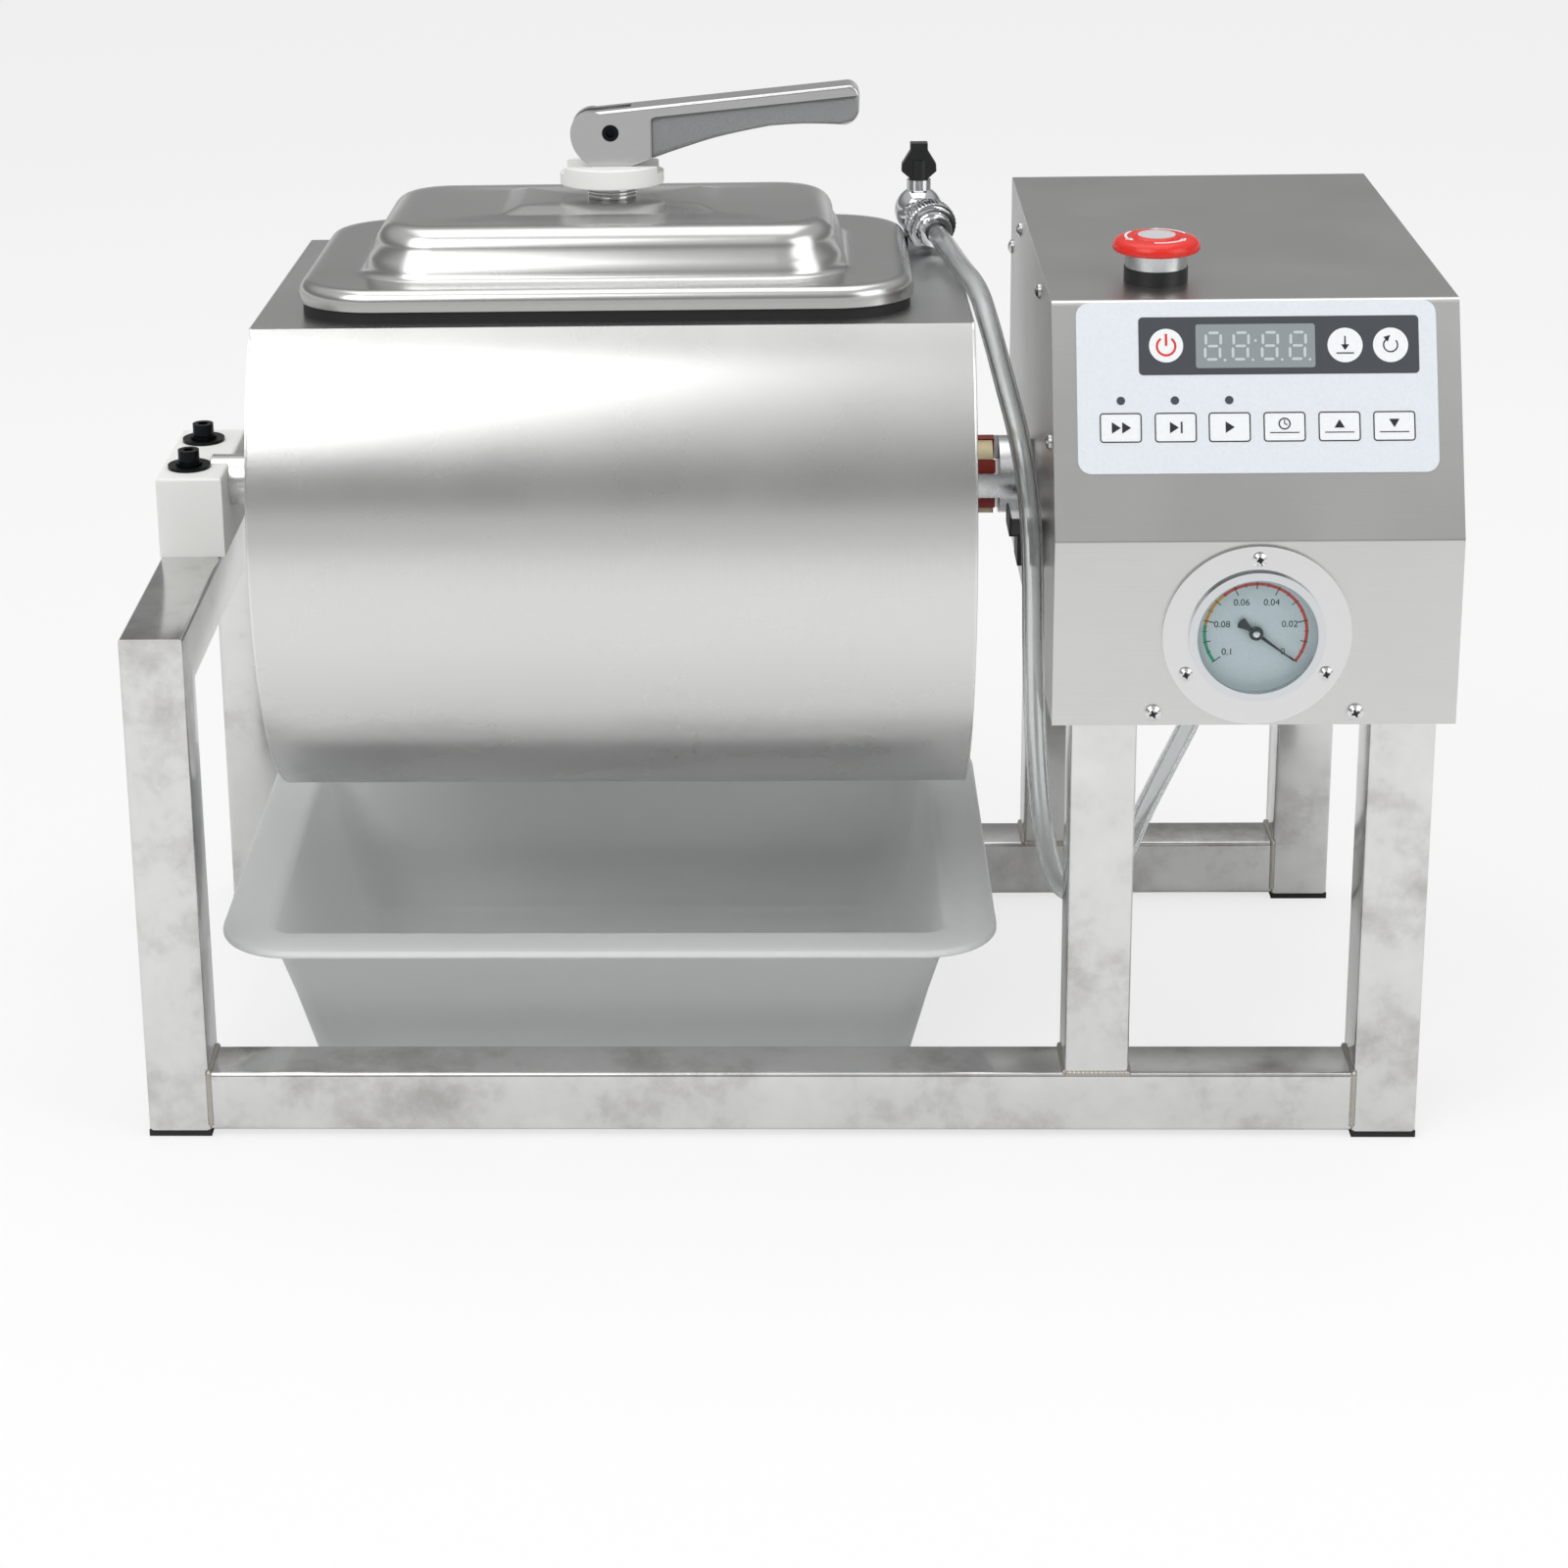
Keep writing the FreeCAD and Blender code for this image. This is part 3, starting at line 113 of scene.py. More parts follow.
def polishedSteel(name, hexText, rough=0.14, marks=0.08):
    # bright annealed steel: nearly a mirror, with a slight ripple and rubbed patches
    material, shader = startMaterial(name, {"Base Color": linearColour(hexText), "Metallic": 1.0,
                                            "Roughness": rough})
    place = addNode(material, "ShaderNodeTexCoord")
    ripple = addNode(material, "ShaderNodeTexNoise", {"Scale": 60.0, "Detail": 2.0},
                     {"Vector": place.outputs["Object"]})
    rubbed = addNode(material, "ShaderNodeTexNoise", {"Scale": 210.0, "Detail": 5.0, "Roughness": 0.65},
                     {"Vector": place.outputs["Object"]})
    level = addNode(material, "ShaderNodeMapRange", {"To Min": rough - marks / 2, "To Max": rough + marks},
                    {"Value": rubbed.outputs["Fac"]})
    join(material, level.outputs["Result"], shader.inputs["Roughness"])
    bump = addNode(material, "ShaderNodeBump", {"Strength": 0.12, "Distance": 0.0004},
                   {"Height": ripple.outputs["Fac"]})
    join(material, bump.outputs["Normal"], shader.inputs["Normal"])
    return material


def mouldedPlastic(name, hexText, rough=0.45, grain=900.0, depth=0.00005, extra=None):
    # injection moulding: even colour, a fine spark-eroded grain
    settings = {"Base Color": linearColour(hexText), "Roughness": rough, "IOR": 1.49}
    settings.update(extra or {})
    material, shader = startMaterial(name, settings)
    place = addNode(material, "ShaderNodeTexCoord")
    pits = addNode(material, "ShaderNodeTexNoise", {"Scale": grain, "Detail": 3.0},
                   {"Vector": place.outputs["Object"]})
    level = addNode(material, "ShaderNodeMapRange", {"To Min": rough - 0.05, "To Max": rough + 0.06},
                    {"Value": pits.outputs["Fac"]})
    join(material, level.outputs["Result"], shader.inputs["Roughness"])
    bump = addNode(material, "ShaderNodeBump", {"Strength": 0.3, "Distance": depth},
                   {"Height": pits.outputs["Fac"]})
    join(material, bump.outputs["Normal"], shader.inputs["Normal"])
    return material


def castMetal(name, hexText, rough=0.5, metallic=1.0):
    # sand cast or bead blasted: a coarse even grain
    material, shader = startMaterial(name, {"Base Color": linearColour(hexText), "Metallic": metallic,
                                            "Roughness": rough})
    place = addNode(material, "ShaderNodeTexCoord")
    sand = addNode(material, "ShaderNodeTexNoise", {"Scale": 1500.0, "Detail": 2.0},
                   {"Vector": place.outputs["Object"]})
    tone = addNode(material, "ShaderNodeValToRGB", links={"Fac": sand.outputs["Fac"]})
    base = linearColour(hexText)
    rampStops(tone, [(0.3, tuple(v * 0.82 for v in base[:3]) + (1,)), (0.7, base)])
    join(material, tone.outputs["Color"], shader.inputs["Base Color"])
    bump = addNode(material, "ShaderNodeBump", {"Strength": 0.5, "Distance": 0.0002},
                   {"Height": sand.outputs["Fac"]})
    join(material, bump.outputs["Normal"], shader.inputs["Normal"])
    return material


def flatInk(name, hexText, rough=0.4):
    # screen print on film or card: matt, with a faint unevenness in the ink
    material, shader = startMaterial(name, {"Base Color": linearColour(hexText), "Roughness": rough})
    place = addNode(material, "ShaderNodeTexCoord")
    ink = addNode(material, "ShaderNodeTexNoise", {"Scale": 700.0, "Detail": 2.0},
                  {"Vector": place.outputs["Object"]})
    base = linearColour(hexText)
    tone = addNode(material, "ShaderNodeValToRGB", links={"Fac": ink.outputs["Fac"]})
    rampStops(tone, [(0.2, tuple(v * 0.93 for v in base[:3]) + (1,)), (0.8, base)])
    join(material, tone.outputs["Color"], shader.inputs["Base Color"])
    return material


def tubeSteel():
    # drawn and polished square tube: darker patches of painted reflection in the base colour, gloss that
    # varies with them, and a ripple that bends reflections
    material, shader = startMaterial("polished304Tube", {"Metallic": 1.0, "Roughness": 0.15})
    place = addNode(material, "ShaderNodeTexCoord")
    base = linearColour("#d9d9d8")
    reflectionPatches = addNode(material, "ShaderNodeTexNoise", {"Scale": 22.0, "Detail": 6.0, "Roughness": 0.7},
                    {"Vector": place.outputs["Object"]})
    # painted reflection: the darker ramp stop stands in for the dark reflections a polished tube shows
    tone = addNode(material, "ShaderNodeValToRGB", links={"Fac": reflectionPatches.outputs["Fac"]})
    rampStops(tone, [(0.3, linearColour("#b9b7b4")), (0.5, base), (0.7, linearColour("#e2e2e1"))])
    join(material, tone.outputs["Color"], shader.inputs["Base Color"])
    level = addNode(material, "ShaderNodeMapRange", {"To Min": 0.08, "To Max": 0.24},
                    {"Value": reflectionPatches.outputs["Fac"]})
    join(material, level.outputs["Result"], shader.inputs["Roughness"])
    wave = addNode(material, "ShaderNodeTexNoise", {"Scale": 35.0, "Detail": 1.0},
                   {"Vector": place.outputs["Object"]})
    bump = addNode(material, "ShaderNodeBump", {"Strength": 0.1, "Distance": 0.0006},
                   {"Height": wave.outputs["Fac"]})
    join(material, bump.outputs["Normal"], shader.inputs["Normal"])
    return material


def clearVinyl():
    # extruded PVC hose: clear, slightly hazy, soft gloss
    material, shader = startMaterial("clearPvcHose", {"Base Color": linearColour("#f4f6f6"),
                                                      "Roughness": 0.12,
                                                      "IOR": 1.3, "Transmission Weight": 0.92})
    place = addNode(material, "ShaderNodeTexCoord")
    haze = addNode(material, "ShaderNodeTexNoise", {"Scale": 90.0, "Detail": 3.0},
                   {"Vector": place.outputs["Object"]})
    level = addNode(material, "ShaderNodeMapRange", {"To Min": 0.05, "To Max": 0.2},
                    {"Value": haze.outputs["Fac"]})
    join(material, level.outputs["Result"], shader.inputs["Roughness"])
    return material


# brushed sheet shows streaks along the belt's way: across the housing, round the drum, and to its depth
steelAcross = brushedSteel("brushed304Across", "#d6d6d5", "X", 0.3)
steelRound = brushedSteel("brushed304Round", "#dcdcdb", "Z", 0.27, 0.8)
steelDeep = brushedSteel("brushed304Depth", "#c9c9c8", "Y", 0.33)
pressedSteel = brushedSteel("pressed304Lid", "#cfcfce", "X", 0.24, 0.35, 0.03)
tubeFinish = tubeSteel()
brightSteel = polishedSteel("polishedSteelFittings", "#dcdcdc")
chromePlate = polishedSteel("chromedBrass", "#d4d6d8", 0.07, 0.05)
# blackened and moulded pieces: dark with a dull sheen, or an even colour with a soft grain
boltBlack = castMetal("blackOxideSteel", "#26272a", 0.38)
nylonWhite = mouldedPlastic("machinedNylon", "#f1f1ee", 0.5, 500.0, 0.00006,
                            {"Subsurface Weight": 0.2, "Subsurface Radius": (0.004, 0.004, 0.004),
                             "Subsurface Scale": 1.0})
rubberBlack = mouldedPlastic("nitrileRubber", "#141415", 0.6)
elastomerRed = mouldedPlastic("polyurethaneSpider", "#b5301c", 0.4)
hubSilver = polishedSteel("turnedAluminiumHub", "#d8d9da", 0.26, 0.1)
hubTan = castMetal("zincAlloyJaw", "#c9bc9c", 0.45)
absBlack = mouldedPlastic("blackAbs", "#1b1c1e", 0.4)
stopRed = mouldedPlastic("redPolycarbonate", "#e0281e", 0.28, 400.0, 0.00002)
# films, inks and cards: flat colour, barely glossy
filmWhite = flatInk("matPolyesterFilm", "#e3e9ee", 0.38)
inkDark = flatInk("darkGreyInk", "#45494f", 0.38)
inkBlack = flatInk("blackInk", "#232629", 0.4)
inkWhite = flatInk("whiteInk", "#eef1f3", 0.4)
inkRed = flatInk("redInk", "#dd3a2c", 0.4)
displayFace = mouldedPlastic("smokedDisplayWindow", "#8f979b", 0.22, 300.0, 0.00001)
displaySegment = flatInk("unlitLedSegment", "#c9cfd2", 0.3)
boardGreen = flatInk("solderMask", "#1f6b3a", 0.35)
dialCard = flatInk("printedDialCard", "#dfe9ee", 0.5)
bandGreen = flatInk("greenBandInk", "#35b183", 0.5)
bandYellow = flatInk("yellowBandInk", "#e8a83c", 0.5)
bandRed = flatInk("redBandInk", "#e2564c", 0.5)
windowGlass = startMaterial("floatGlass", {"Base Color": linearColour("#f6fbfb"), "Roughness": 0.03,
                                           "IOR": 1.2, "Transmission Weight": 1.0})[0]
gearCase = castMetal("paintedCastAlloy", "#7c8085", 0.5, 0.3)
motorCan = castMetal("paintedMotorCan", "#3f444a", 0.45, 0.3)
# the lever: blasted grey sides under a rubbed bright rim
leverSand = castMetal("sandBlastedSteel", "#a9aaab", 0.46)
leverBrushed = brushedSteel("brushedCastLever", "#cfcfcf", "X", 0.25, 0.6)
# unpigmented polypropylene lets a little light through
trayMilk = mouldedPlastic("naturalPolypropylene", "#f2f4f4", 0.36, 120.0, 0.00004,
                          {"Subsurface Weight": 0.35, "Subsurface Radius": (0.02, 0.021, 0.022),
                           "Subsurface Scale": 0.6,
                           "Transmission Weight": 0.18})
hoseVinyl = clearVinyl()

nodeFinish = {
    "foot_caps": rubberBlack, "bearing_block": nylonWhite, "block_bolts": boltBlack, "drum_shell": steelRound,
    "drum_left_end": steelRound, "drum_right_end": steelRound, "drum_baffles": steelAcross,
              "driven_hub": hubTan,
    "coupling_spider": elastomerRed, "drive_hub": hubSilver, "lid": pressedSteel, "lid_gasket": rubberBlack,
    "threaded_bush": brightSteel, "pressure_disc": nylonWhite, "clamp_rod": brightSteel,
              "lever_pin": boltBlack,
    "clamp_lever": leverBrushed, "valve_body": chromePlate, "hose_coupler": chromePlate,
              "valve_handle": absBlack,
    "housing_cover": steelAcross, "housing_left_panel": steelDeep, "housing_right_panel": steelDeep,
    "housing_base": steelAcross, "mount_plate": steelAcross, "housing_screws": brightSteel,
    "keypad_membrane": filmWhite, "display_window": inkDark, "control_board": boardGreen,
    "gauge_flange": brightSteel, "gauge_case": chromePlate, "gauge_dial": dialCard,
              "gauge_glass": windowGlass,
    "gauge_needle": absBlack, "gauge_screws": brightSteel, "estop_lower_collar": absBlack,
    "estop_upper_collar": hubSilver, "estop_contact_block": absBlack, "estop_stem": absBlack,
              "estop_head": stopRed,
    "gearbox": gearCase, "drive_motor": motorCan, "vacuum_pump": motorCan, "vacuum_port": chromePlate,
    "power_inlet": absBlack, "position_sensor": absBlack, "drip_tray": trayMilk, "vacuum_hose": hoseVinyl,
}
for name, node in nodes.items():
    node.data.materials.clear()
    node.data.materials.append(nodeFinish.get(name, tubeFinish))
print("materials set")


# ---- meshes
def makePiece(name, points, faces, material, body, smooth=True):
    mesh = bpy.data.meshes.new(name)
    mesh.from_pydata(np.asarray(points, float).reshape(-1, 3).tolist(), [], faces)
    mesh.validate()
    mesh.update()
    for polygon in mesh.polygons:
        polygon.use_smooth = smooth
    if material:
        mesh.materials.append(material)
    piece = bpy.data.objects.new(name, mesh)
    bpy.context.scene.collection.objects.link(piece)
    if body:
        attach(piece, body)
    return piece


def gridFaces(rows, columns, closeRows=False, closeColumns=False):
    # quads of a rows by columns grid of points, wrapped round where asked
    i = np.arange(rows if closeRows else rows - 1)[:, None]
    j = np.arange(columns if closeColumns else columns - 1)[None, :]
    i2, j2 = (i + 1) % rows, (j + 1) % columns
    quads = np.stack([i * columns + j, i * columns + j2, i2 * columns + j2, i2 * columns + j], -1)
    return quads.reshape(-1, 4).tolist()


def roundedLoop(wide, high, corner, steps=5):
    # a rounded rectangle about the origin, counter-clockwise: four quarter circles joined by straight sides
    angles = np.linspace(0, np.pi / 2, steps + 1)
    parts = []
    for turn, (sx, sy) in enumerate(((1, 1), (-1, 1), (-1, -1), (1, -1))):
        a = angles + turn * np.pi / 2
        parts.append(np.stack([sx * (wide / 2 - corner) + corner * np.cos(a),
                               sy * (high / 2 - corner) + corner * np.sin(a)], 1))
    return np.concatenate(parts)


def edgeAngle(piece, degrees=40):
    # smooth shading that breaks at edges sharper than this
    piece.data.set_sharp_from_angle(angle=math.radians(degrees))
    return piece


def closePoles(piece):
    # points that fall together at a pole are merged, so a turned piece is closed
    shape = bmesh.new()
    shape.from_mesh(piece.data)
    bmesh.ops.remove_doubles(shape, verts=shape.verts, dist=1e-7)
    bmesh.ops.recalc_face_normals(shape, faces=shape.faces)
    shape.to_mesh(piece.data)
    shape.free()
    return piece


millimetre = 0.001
drumFrame = {"tilt": math.radians(2.8), "axisHeight": 281.6}
slope = {"foot": (213.0, -154.0, 296.5), "lean": math.atan2(100.5, 42.3)}
dial = {"x": 213.0, "z": 252.4, "face": -150.5}
stopButton = {"x": 172.5, "y": -74.3, "top": 397.0}


def onDrum(points):
    # millimetres in the drum's leaning frame to metres in the row frame
    x, y, z = np.moveaxis(np.asarray(points, float), -1, 0)
    c, s = math.cos(drumFrame["tilt"]), math.sin(drumFrame["tilt"])
    return np.stack([x, y * c + z * s, drumFrame["axisHeight"] - y * s + z * c], -1) * millimetre


def onSlope(points):
    # x across, s up the sloped front and h out of it, in millimetres, to metres
    x, s, h = np.moveaxis(np.asarray(points, float), -1, 0)
    c, d = math.cos(slope["lean"]), math.sin(slope["lean"])
    fx, fy, fz = slope["foot"]
    return np.stack([fx + x, fy + s * c - h * d, fz + s * d + h * c], -1) * millimetre


def onDial(points):
    # x across, z up and h out of the dial's card
    x, z, h = np.moveaxis(np.asarray(points, float), -1, 0)
    return np.stack([dial["x"] + x, dial["face"] - h, dial["z"] + z], -1) * millimetre


def onStop(points):
    # about the emergency stop's axis, up from the housing's top sheet
    x, y, z = np.moveaxis(np.asarray(points, float), -1, 0)
    return np.stack([stopButton["x"] + x, stopButton["y"] + y, stopButton["top"] + z], -1) * millimetre


def plates(name, loops, low, high, place, material, body):
    # thin flat prisms in one piece: each loop of (x, y) is raised from low to high
    points, faces, first = [], [], 0
    for loop in loops:
        flat = np.asarray(loop, float)
        n = len(flat)
        for level in (low, high):
            points.append(place(np.column_stack([flat, np.full(n, level)])))
        k = np.arange(n)
        faces += (np.stack([k, (k + 1) % n, (k + 1) % n + n, k + n], 1) + first).tolist()
        faces += [list(range(first + n - 1, first - 1, -1)), list(range(first + n, first + 2 * n))]
        first += 2 * n
    return makePiece(name, np.concatenate(points), faces, material, body, False)


def roundRect(x, y, wide, high, corner):
    return roundedLoop(wide, high, corner) + (x, y)


def disc(x, y, radius, steps=40):
    a = np.linspace(0, 2 * np.pi, steps, endpoint=False)
    return np.stack([x + radius * np.cos(a), y + radius * np.sin(a)], 1)


def arcBand(x, y, inner, outer, start, end, steps=24):
    # a piece of a ring: out along the larger arc and back along the smaller
    a = np.radians(np.linspace(start, end, steps))
    out = np.stack([x + outer * np.cos(a), y + outer * np.sin(a)], 1)
    back = np.stack([x + inner * np.cos(a[::-1]), y + inner * np.sin(a[::-1])], 1)
    return np.concatenate([out, back])


def frameBand(x, y, wide, high, corner, line):
    # the outline of a rounded key as two half frames, so that each is one closed loop
    outer = roundedLoop(wide, high, corner)
    inner = roundedLoop(wide - 2 * line, high - 2 * line, corner - line)
    n = len(outer) // 2
    return [np.concatenate([outer[:n + 1], inner[:n + 1][::-1]]) + (x, y),
            np.concatenate([np.roll(outer, -n, 0)[:n + 1], np.roll(inner, -n, 0)[:n + 1][::-1]]) + (x, y)]


def bar(x0, y0, x1, y1, line):
    # a straight stroke of even width
    way = np.array([x1 - x0, y1 - y0], float)
    side = np.array([-way[1], way[0]]) / np.linalg.norm(way) * line / 2
    a, b = np.array([x0, y0]), np.array([x1, y1])
    return np.array([a - side, b - side, b + side, a + side])


# ---- frame of square tube
tubeFrame = {"side": 0.030, "corner": 0.0022, "wall": 0.0015, "depth": 0.137, "top": 0.252,
             "legs": {"left": (-0.289, 0.003), "middle": (0.146, 0.033), "right": (0.281, 0.003)},
             "railStart": -0.274, "railLength": 0.540, "railHeight": 0.018}
weld = {"radius": 0.0014, "step": 0.0005, "pool": 0.002, "taper": 0.001, "sides": 10, "low": 0.005,
        "high": 0.033}


def tubeRun(name, start, way, length, startMitre=None, endMitre=None):
    # a rounded square carried along a straight path; a mitred end plane leans by 45 degrees across the tube
    f = tubeFrame
    loop = roundedLoop(f["side"], f["side"], f["corner"], 4)
    first, second, third = {"X": (1, 2, 0), "Y": (2, 0, 1), "Z": (0, 1, 2)}[way]
    section = np.zeros((len(loop), 3))
    section[:, first], section[:, second] = loop[:, 0], loop[:, 1]
    inner = section * (1 - 2 * f["wall"] / f["side"])
    rings = []
    for ring, far in ((section, 0), (section, 1), (inner, 1), (inner, 0)):
        mitre = endMitre if far else startMitre
        lean = np.zeros(len(ring))
        if mitre:
            lean = (mitre[1] * ring[:, "XYZ".index(mitre[0])] - f["side"] / 2) * (1 if far else -1)
        rings.append(np.array(start) + ring + (length * far + lean)[:, None] * np.eye(3)[third])
    faces = gridFaces(len(rings), len(loop), True, True)
    piece = makePiece("tube_" + name, rings, faces, tubeFinish, "base", True)
    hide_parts(name)
    return edgeAngle(piece)


def weldBead(name, corners):
    # a thin round rope along straight edges, rippled like overlapping pools and tapered at both ends
    path = []
    for a, b in zip(corners, corners[1:]):
        a, b = np.array(a, float), np.array(b, float)
        steps = max(2, int(np.linalg.norm(b - a) / weld["step"]))
        path.append(a + (b - a) * np.linspace(0, 1, steps, endpoint=False)[:, None])
    path = np.concatenate(path + [np.array(corners[-1:], float)])
    run = np.arange(len(path)) * weld["step"]
    rings = tubeAlong(path, 1.0, weld["sides"])
    size = weld["radius"] * (0.8 + 0.2 * np.abs(np.sin(np.pi * run / weld["pool"])))
    size *= np.clip(np.minimum(run, run[-1] - run) / weld["taper"], 0.15, 1)
    rings = path[:, None] + (rings - path[:, None]) * size[:, None, None]
    faces = gridFaces(len(rings), weld["sides"], False, True)
    return makePiece(name, rings, faces, weldFinish, "base", True)


def tubeAlong(line, radius, sides):
    # rings of a circle set square to a line, turned as little as possible from one to the next
    tangent = np.gradient(line, axis=0)
    tangent /= np.linalg.norm(tangent, axis=1)[:, None]
    normal = np.cross(tangent[0], (0.31, 0.17, 1.0))
    rings = []
    angle = np.linspace(0, 2 * np.pi, sides, endpoint=False)
    for centre, way in zip(line, tangent):
        normal = normal - way * normal.dot(way)
        normal /= np.linalg.norm(normal)
        other = np.cross(way, normal)
        rings.append(centre + radius * (np.cos(angle)[:, None] * normal + np.sin(angle)[:, None] * other))
    return np.array(rings)


def makeFrame():
    f, half, low, high = tubeFrame, tubeFrame["side"] / 2, weld["low"], weld["high"]
    for side, (x, foot) in f["legs"].items():
        for place, sign in (("front", -1), ("rear", 1)):
            tubeRun(f"{side}_{place}_leg", (x, sign * f["depth"], foot), "Z", f["top"] - foot, None,
                    ("Y", sign))
        start = (x, -f["depth"] - half, f["top"] - half)
        tubeRun(f"{side}_top_rail", start, "Y", 2 * (f["depth"] + half), ("Z", 1), ("Z", 1))
    for place, sign in (("front", -1), ("rear", 1)):
        tubeRun(f"{place}_rail", (f["railStart"], sign * f["depth"], f["railHeight"]), "X", f["railLength"])
        y0, y1 = sign * f["depth"] - half, sign * f["depth"] + half
        for k, x in enumerate((f["railStart"], f["railStart"] + f["railLength"])):
            weldBead(f"bead_{place}_{k}", [(x, y0, low), (x, y0, high), (x, y1, high), (x, y1, low)])
        x0, x1 = f["legs"]["middle"][0] - half, f["legs"]["middle"][0] + half
        loop = [(x0, y0, high), (x1, y0, high), (x1, y1, high), (x0, y1, high), (x0, y0, high)]
        weldBead(f"bead_{place}_middle", loop)


weldFinish = polishedSteel("brushedWeldBead", "#b7b3ac", 0.3, 0.2)
makeFrame()
print("frame made")


# ---- pressed lid, tray and other ring shells
def inset(rect, d):
    x, y, length, width, corner = rect
    return (x, y, length - 2 * d, width - 2 * d, max(corner - d, 0.3))


def mix(a, b, share):
    return tuple(p * (1 - share) + q * share for p, q in zip(a, b))


def bulge(rect, start, low, size, steps=6):
    # a convex quarter round: in from the rectangle by size while rising by size
    t = np.linspace(0, np.pi / 2, steps)
    return [(inset(rect, start + size * (1 - math.cos(a))), low + size * math.sin(a)) for a in t]


def cove(rect, start, low, size, steps=5):
    # a concave quarter round: from level to upright
    t = np.linspace(0, np.pi / 2, steps)
    return [(inset(rect, start + size * math.sin(a)), low + size * (1 - math.cos(a))) for a in t]


def ringShell(name, levels, place, material, body, steps=10):
    # rounded rectangles stacked level by level, one skin up the outside and down the inside
    rings = []
    for (x, y, length, width, corner), z in levels:
        loop = roundedLoop(length, width, corner, steps) + (x, y)
        rings.append(np.column_stack([loop, np.full(len(loop), z)]))
    rings = np.array(rings)
    return makePiece(name, place(rings), gridFaces(len(rings), rings.shape[1], True, True), material, body)


lid = {"flange": (-81.4, -5, 287, 198, 38), "foot": (-82.4, -8.7, 225, 145, 32),
       "crown": (-82.2, -8.2, 217, 137, 29),
       "plateau": (-80.5, 0, 102, 75, 6), "plateauTop": (-80.5, 0, 86, 54, 4),
       "hole": (-80.5, 0, 24.2, 24.2, 12.1),
       "low": 104.2, "ledge": 114.2, "top": 137.5}


def makeLid():
    flange, foot, crown = lid["flange"], lid["foot"], lid["crown"]
    low, ledge, top = lid["low"], lid["ledge"], lid["top"]
    levels = [(inset(flange, 0.6), low), (flange, low + 0.5), (flange, low + 3)]
    levels += bulge(flange, 0, ledge - 5, 5) + [(inset(flange, 8), ledge), (inset(foot, -7), ledge - 0.3)]
    levels += cove(foot, -4, ledge - 0.3, 4)
    levels += [(mix(foot, crown, 0.35), ledge + 8)] + bulge(crown, 0, top - 11, 11, 8)
    levels += [(inset(crown, 15), top), (inset(lid["plateau"], -2), top),
               (inset(lid["plateau"], -0.4), top + 0.15),
               (inset(lid["plateau"], 0.8), top + 0.5), (inset(lid["plateauTop"], -0.8), top + 2.35),
               (inset(lid["plateauTop"], 0.8), top + 2.7), (lid["hole"], top + 2.7)]
    levels += [(lid["hole"], top + 0.5), (inset(lid["plateauTop"], 1), top + 0.5),
               (inset(lid["plateau"], 2), top - 2),
               (inset(crown, 14), top - 2.5), (inset(crown, 4), top - 9), (inset(foot, 2.5), ledge - 1.5),
               (inset(flange, 6), ledge - 1.6), (inset(flange, 1.6), ledge - 5), (inset(flange, 1.6), low)]
    piece = ringShell("pressed_lid", levels, onDrum, pressedSteel, "drum")
    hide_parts("lid")
    edgeAngle(piece, 50)


tray = {"x": -85.5, "y": 14, "length": 376, "width": 277, "corner": 36, "rim": 83, "wall": 2.2, "lip": 3.5}


def makeTray():
    # vacuum formed: a wide flat rim with a rolled edge, walls that lean in, and a broad sweep into the floor
    t = tray
    rim = (t["x"], t["y"], t["length"], t["width"], t["corner"])
    mouth, floor = inset(rim, 25), (t["x"], t["y"], t["length"] - 80, t["width"] - 80, 22)
    top, wall = t["rim"], t["wall"]
    levels = [(inset(floor, 6), 0.0), (inset(floor, 1.5), 1.2), (floor, 4.5),
              (mix(floor, inset(mouth, -1), 0.5), top / 2)]
    levels += [(inset(mouth, -2.2), top - wall - 3), (inset(mouth, -6), top - wall),
               (inset(rim, 3), top - wall),
               (inset(rim, 1.8), top - t["lip"]), (inset(rim, 0.4), top - t["lip"]),
               (rim, top - t["lip"] + 0.6), (rim, top - 1.5)]
    levels += bulge(rim, 0, top - 1.5, 1.5, 4) + [(inset(rim, 8), top), (inset(rim, 20), top)]
    levels += [(inset(rim, 23.5), top - 0.8), (inset(rim, 26), top - 3.2)]
    levels += [(inset(mix(floor, mouth, 0.45), 2.2), top * 0.45), (inset(floor, 4), 12), (inset(floor, 8), 5),
               (inset(floor, 15), 2.6), (inset(floor, 24), wall)]
    centre = (t["x"], t["y"], 1, 1, 0.4)
    levels = [(centre, 0.0)] + levels + [(centre, wall)]
    piece = ringShell("formed_tray", levels, lambda p: np.asarray(p) * millimetre, trayMilk, "tray", 12)
    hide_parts("drip_tray")


makeLid()
makeTray()
print("lid and tray made")


# ---- turned pieces
def lathe(profile, sides=64, wave=None):
    # (radius, height) points turned about the third axis; wave(angle, row) may move the radius
    profile = np.asarray(profile, float)
    angle = np.linspace(0, 2 * np.pi, sides, endpoint=False)
    radius = np.repeat(profile[:, :1], sides, 1)
    if wave is not None:
        radius = radius + wave(angle[None, :], np.arange(len(profile))[:, None])
    return np.stack([radius * np.cos(angle), radius * np.sin(angle), np.repeat(profile[:, 1:], sides, 1)], -1)


def turnedPiece(name, profile, place, material, body, sides=64, wave=None, closed=True, angle=35):
    grid = lathe(profile, sides, wave)
    piece = makePiece(name, place(grid), gridFaces(len(grid), sides, closed, True), material, body)
    closePoles(piece)
    return edgeAngle(piece, angle)


bush = {"x": -80.5, "radius": 12.0, "bore": 6.2, "low": 128.5, "flange": 132.5, "high": 146.5, "pitch": 1.5}


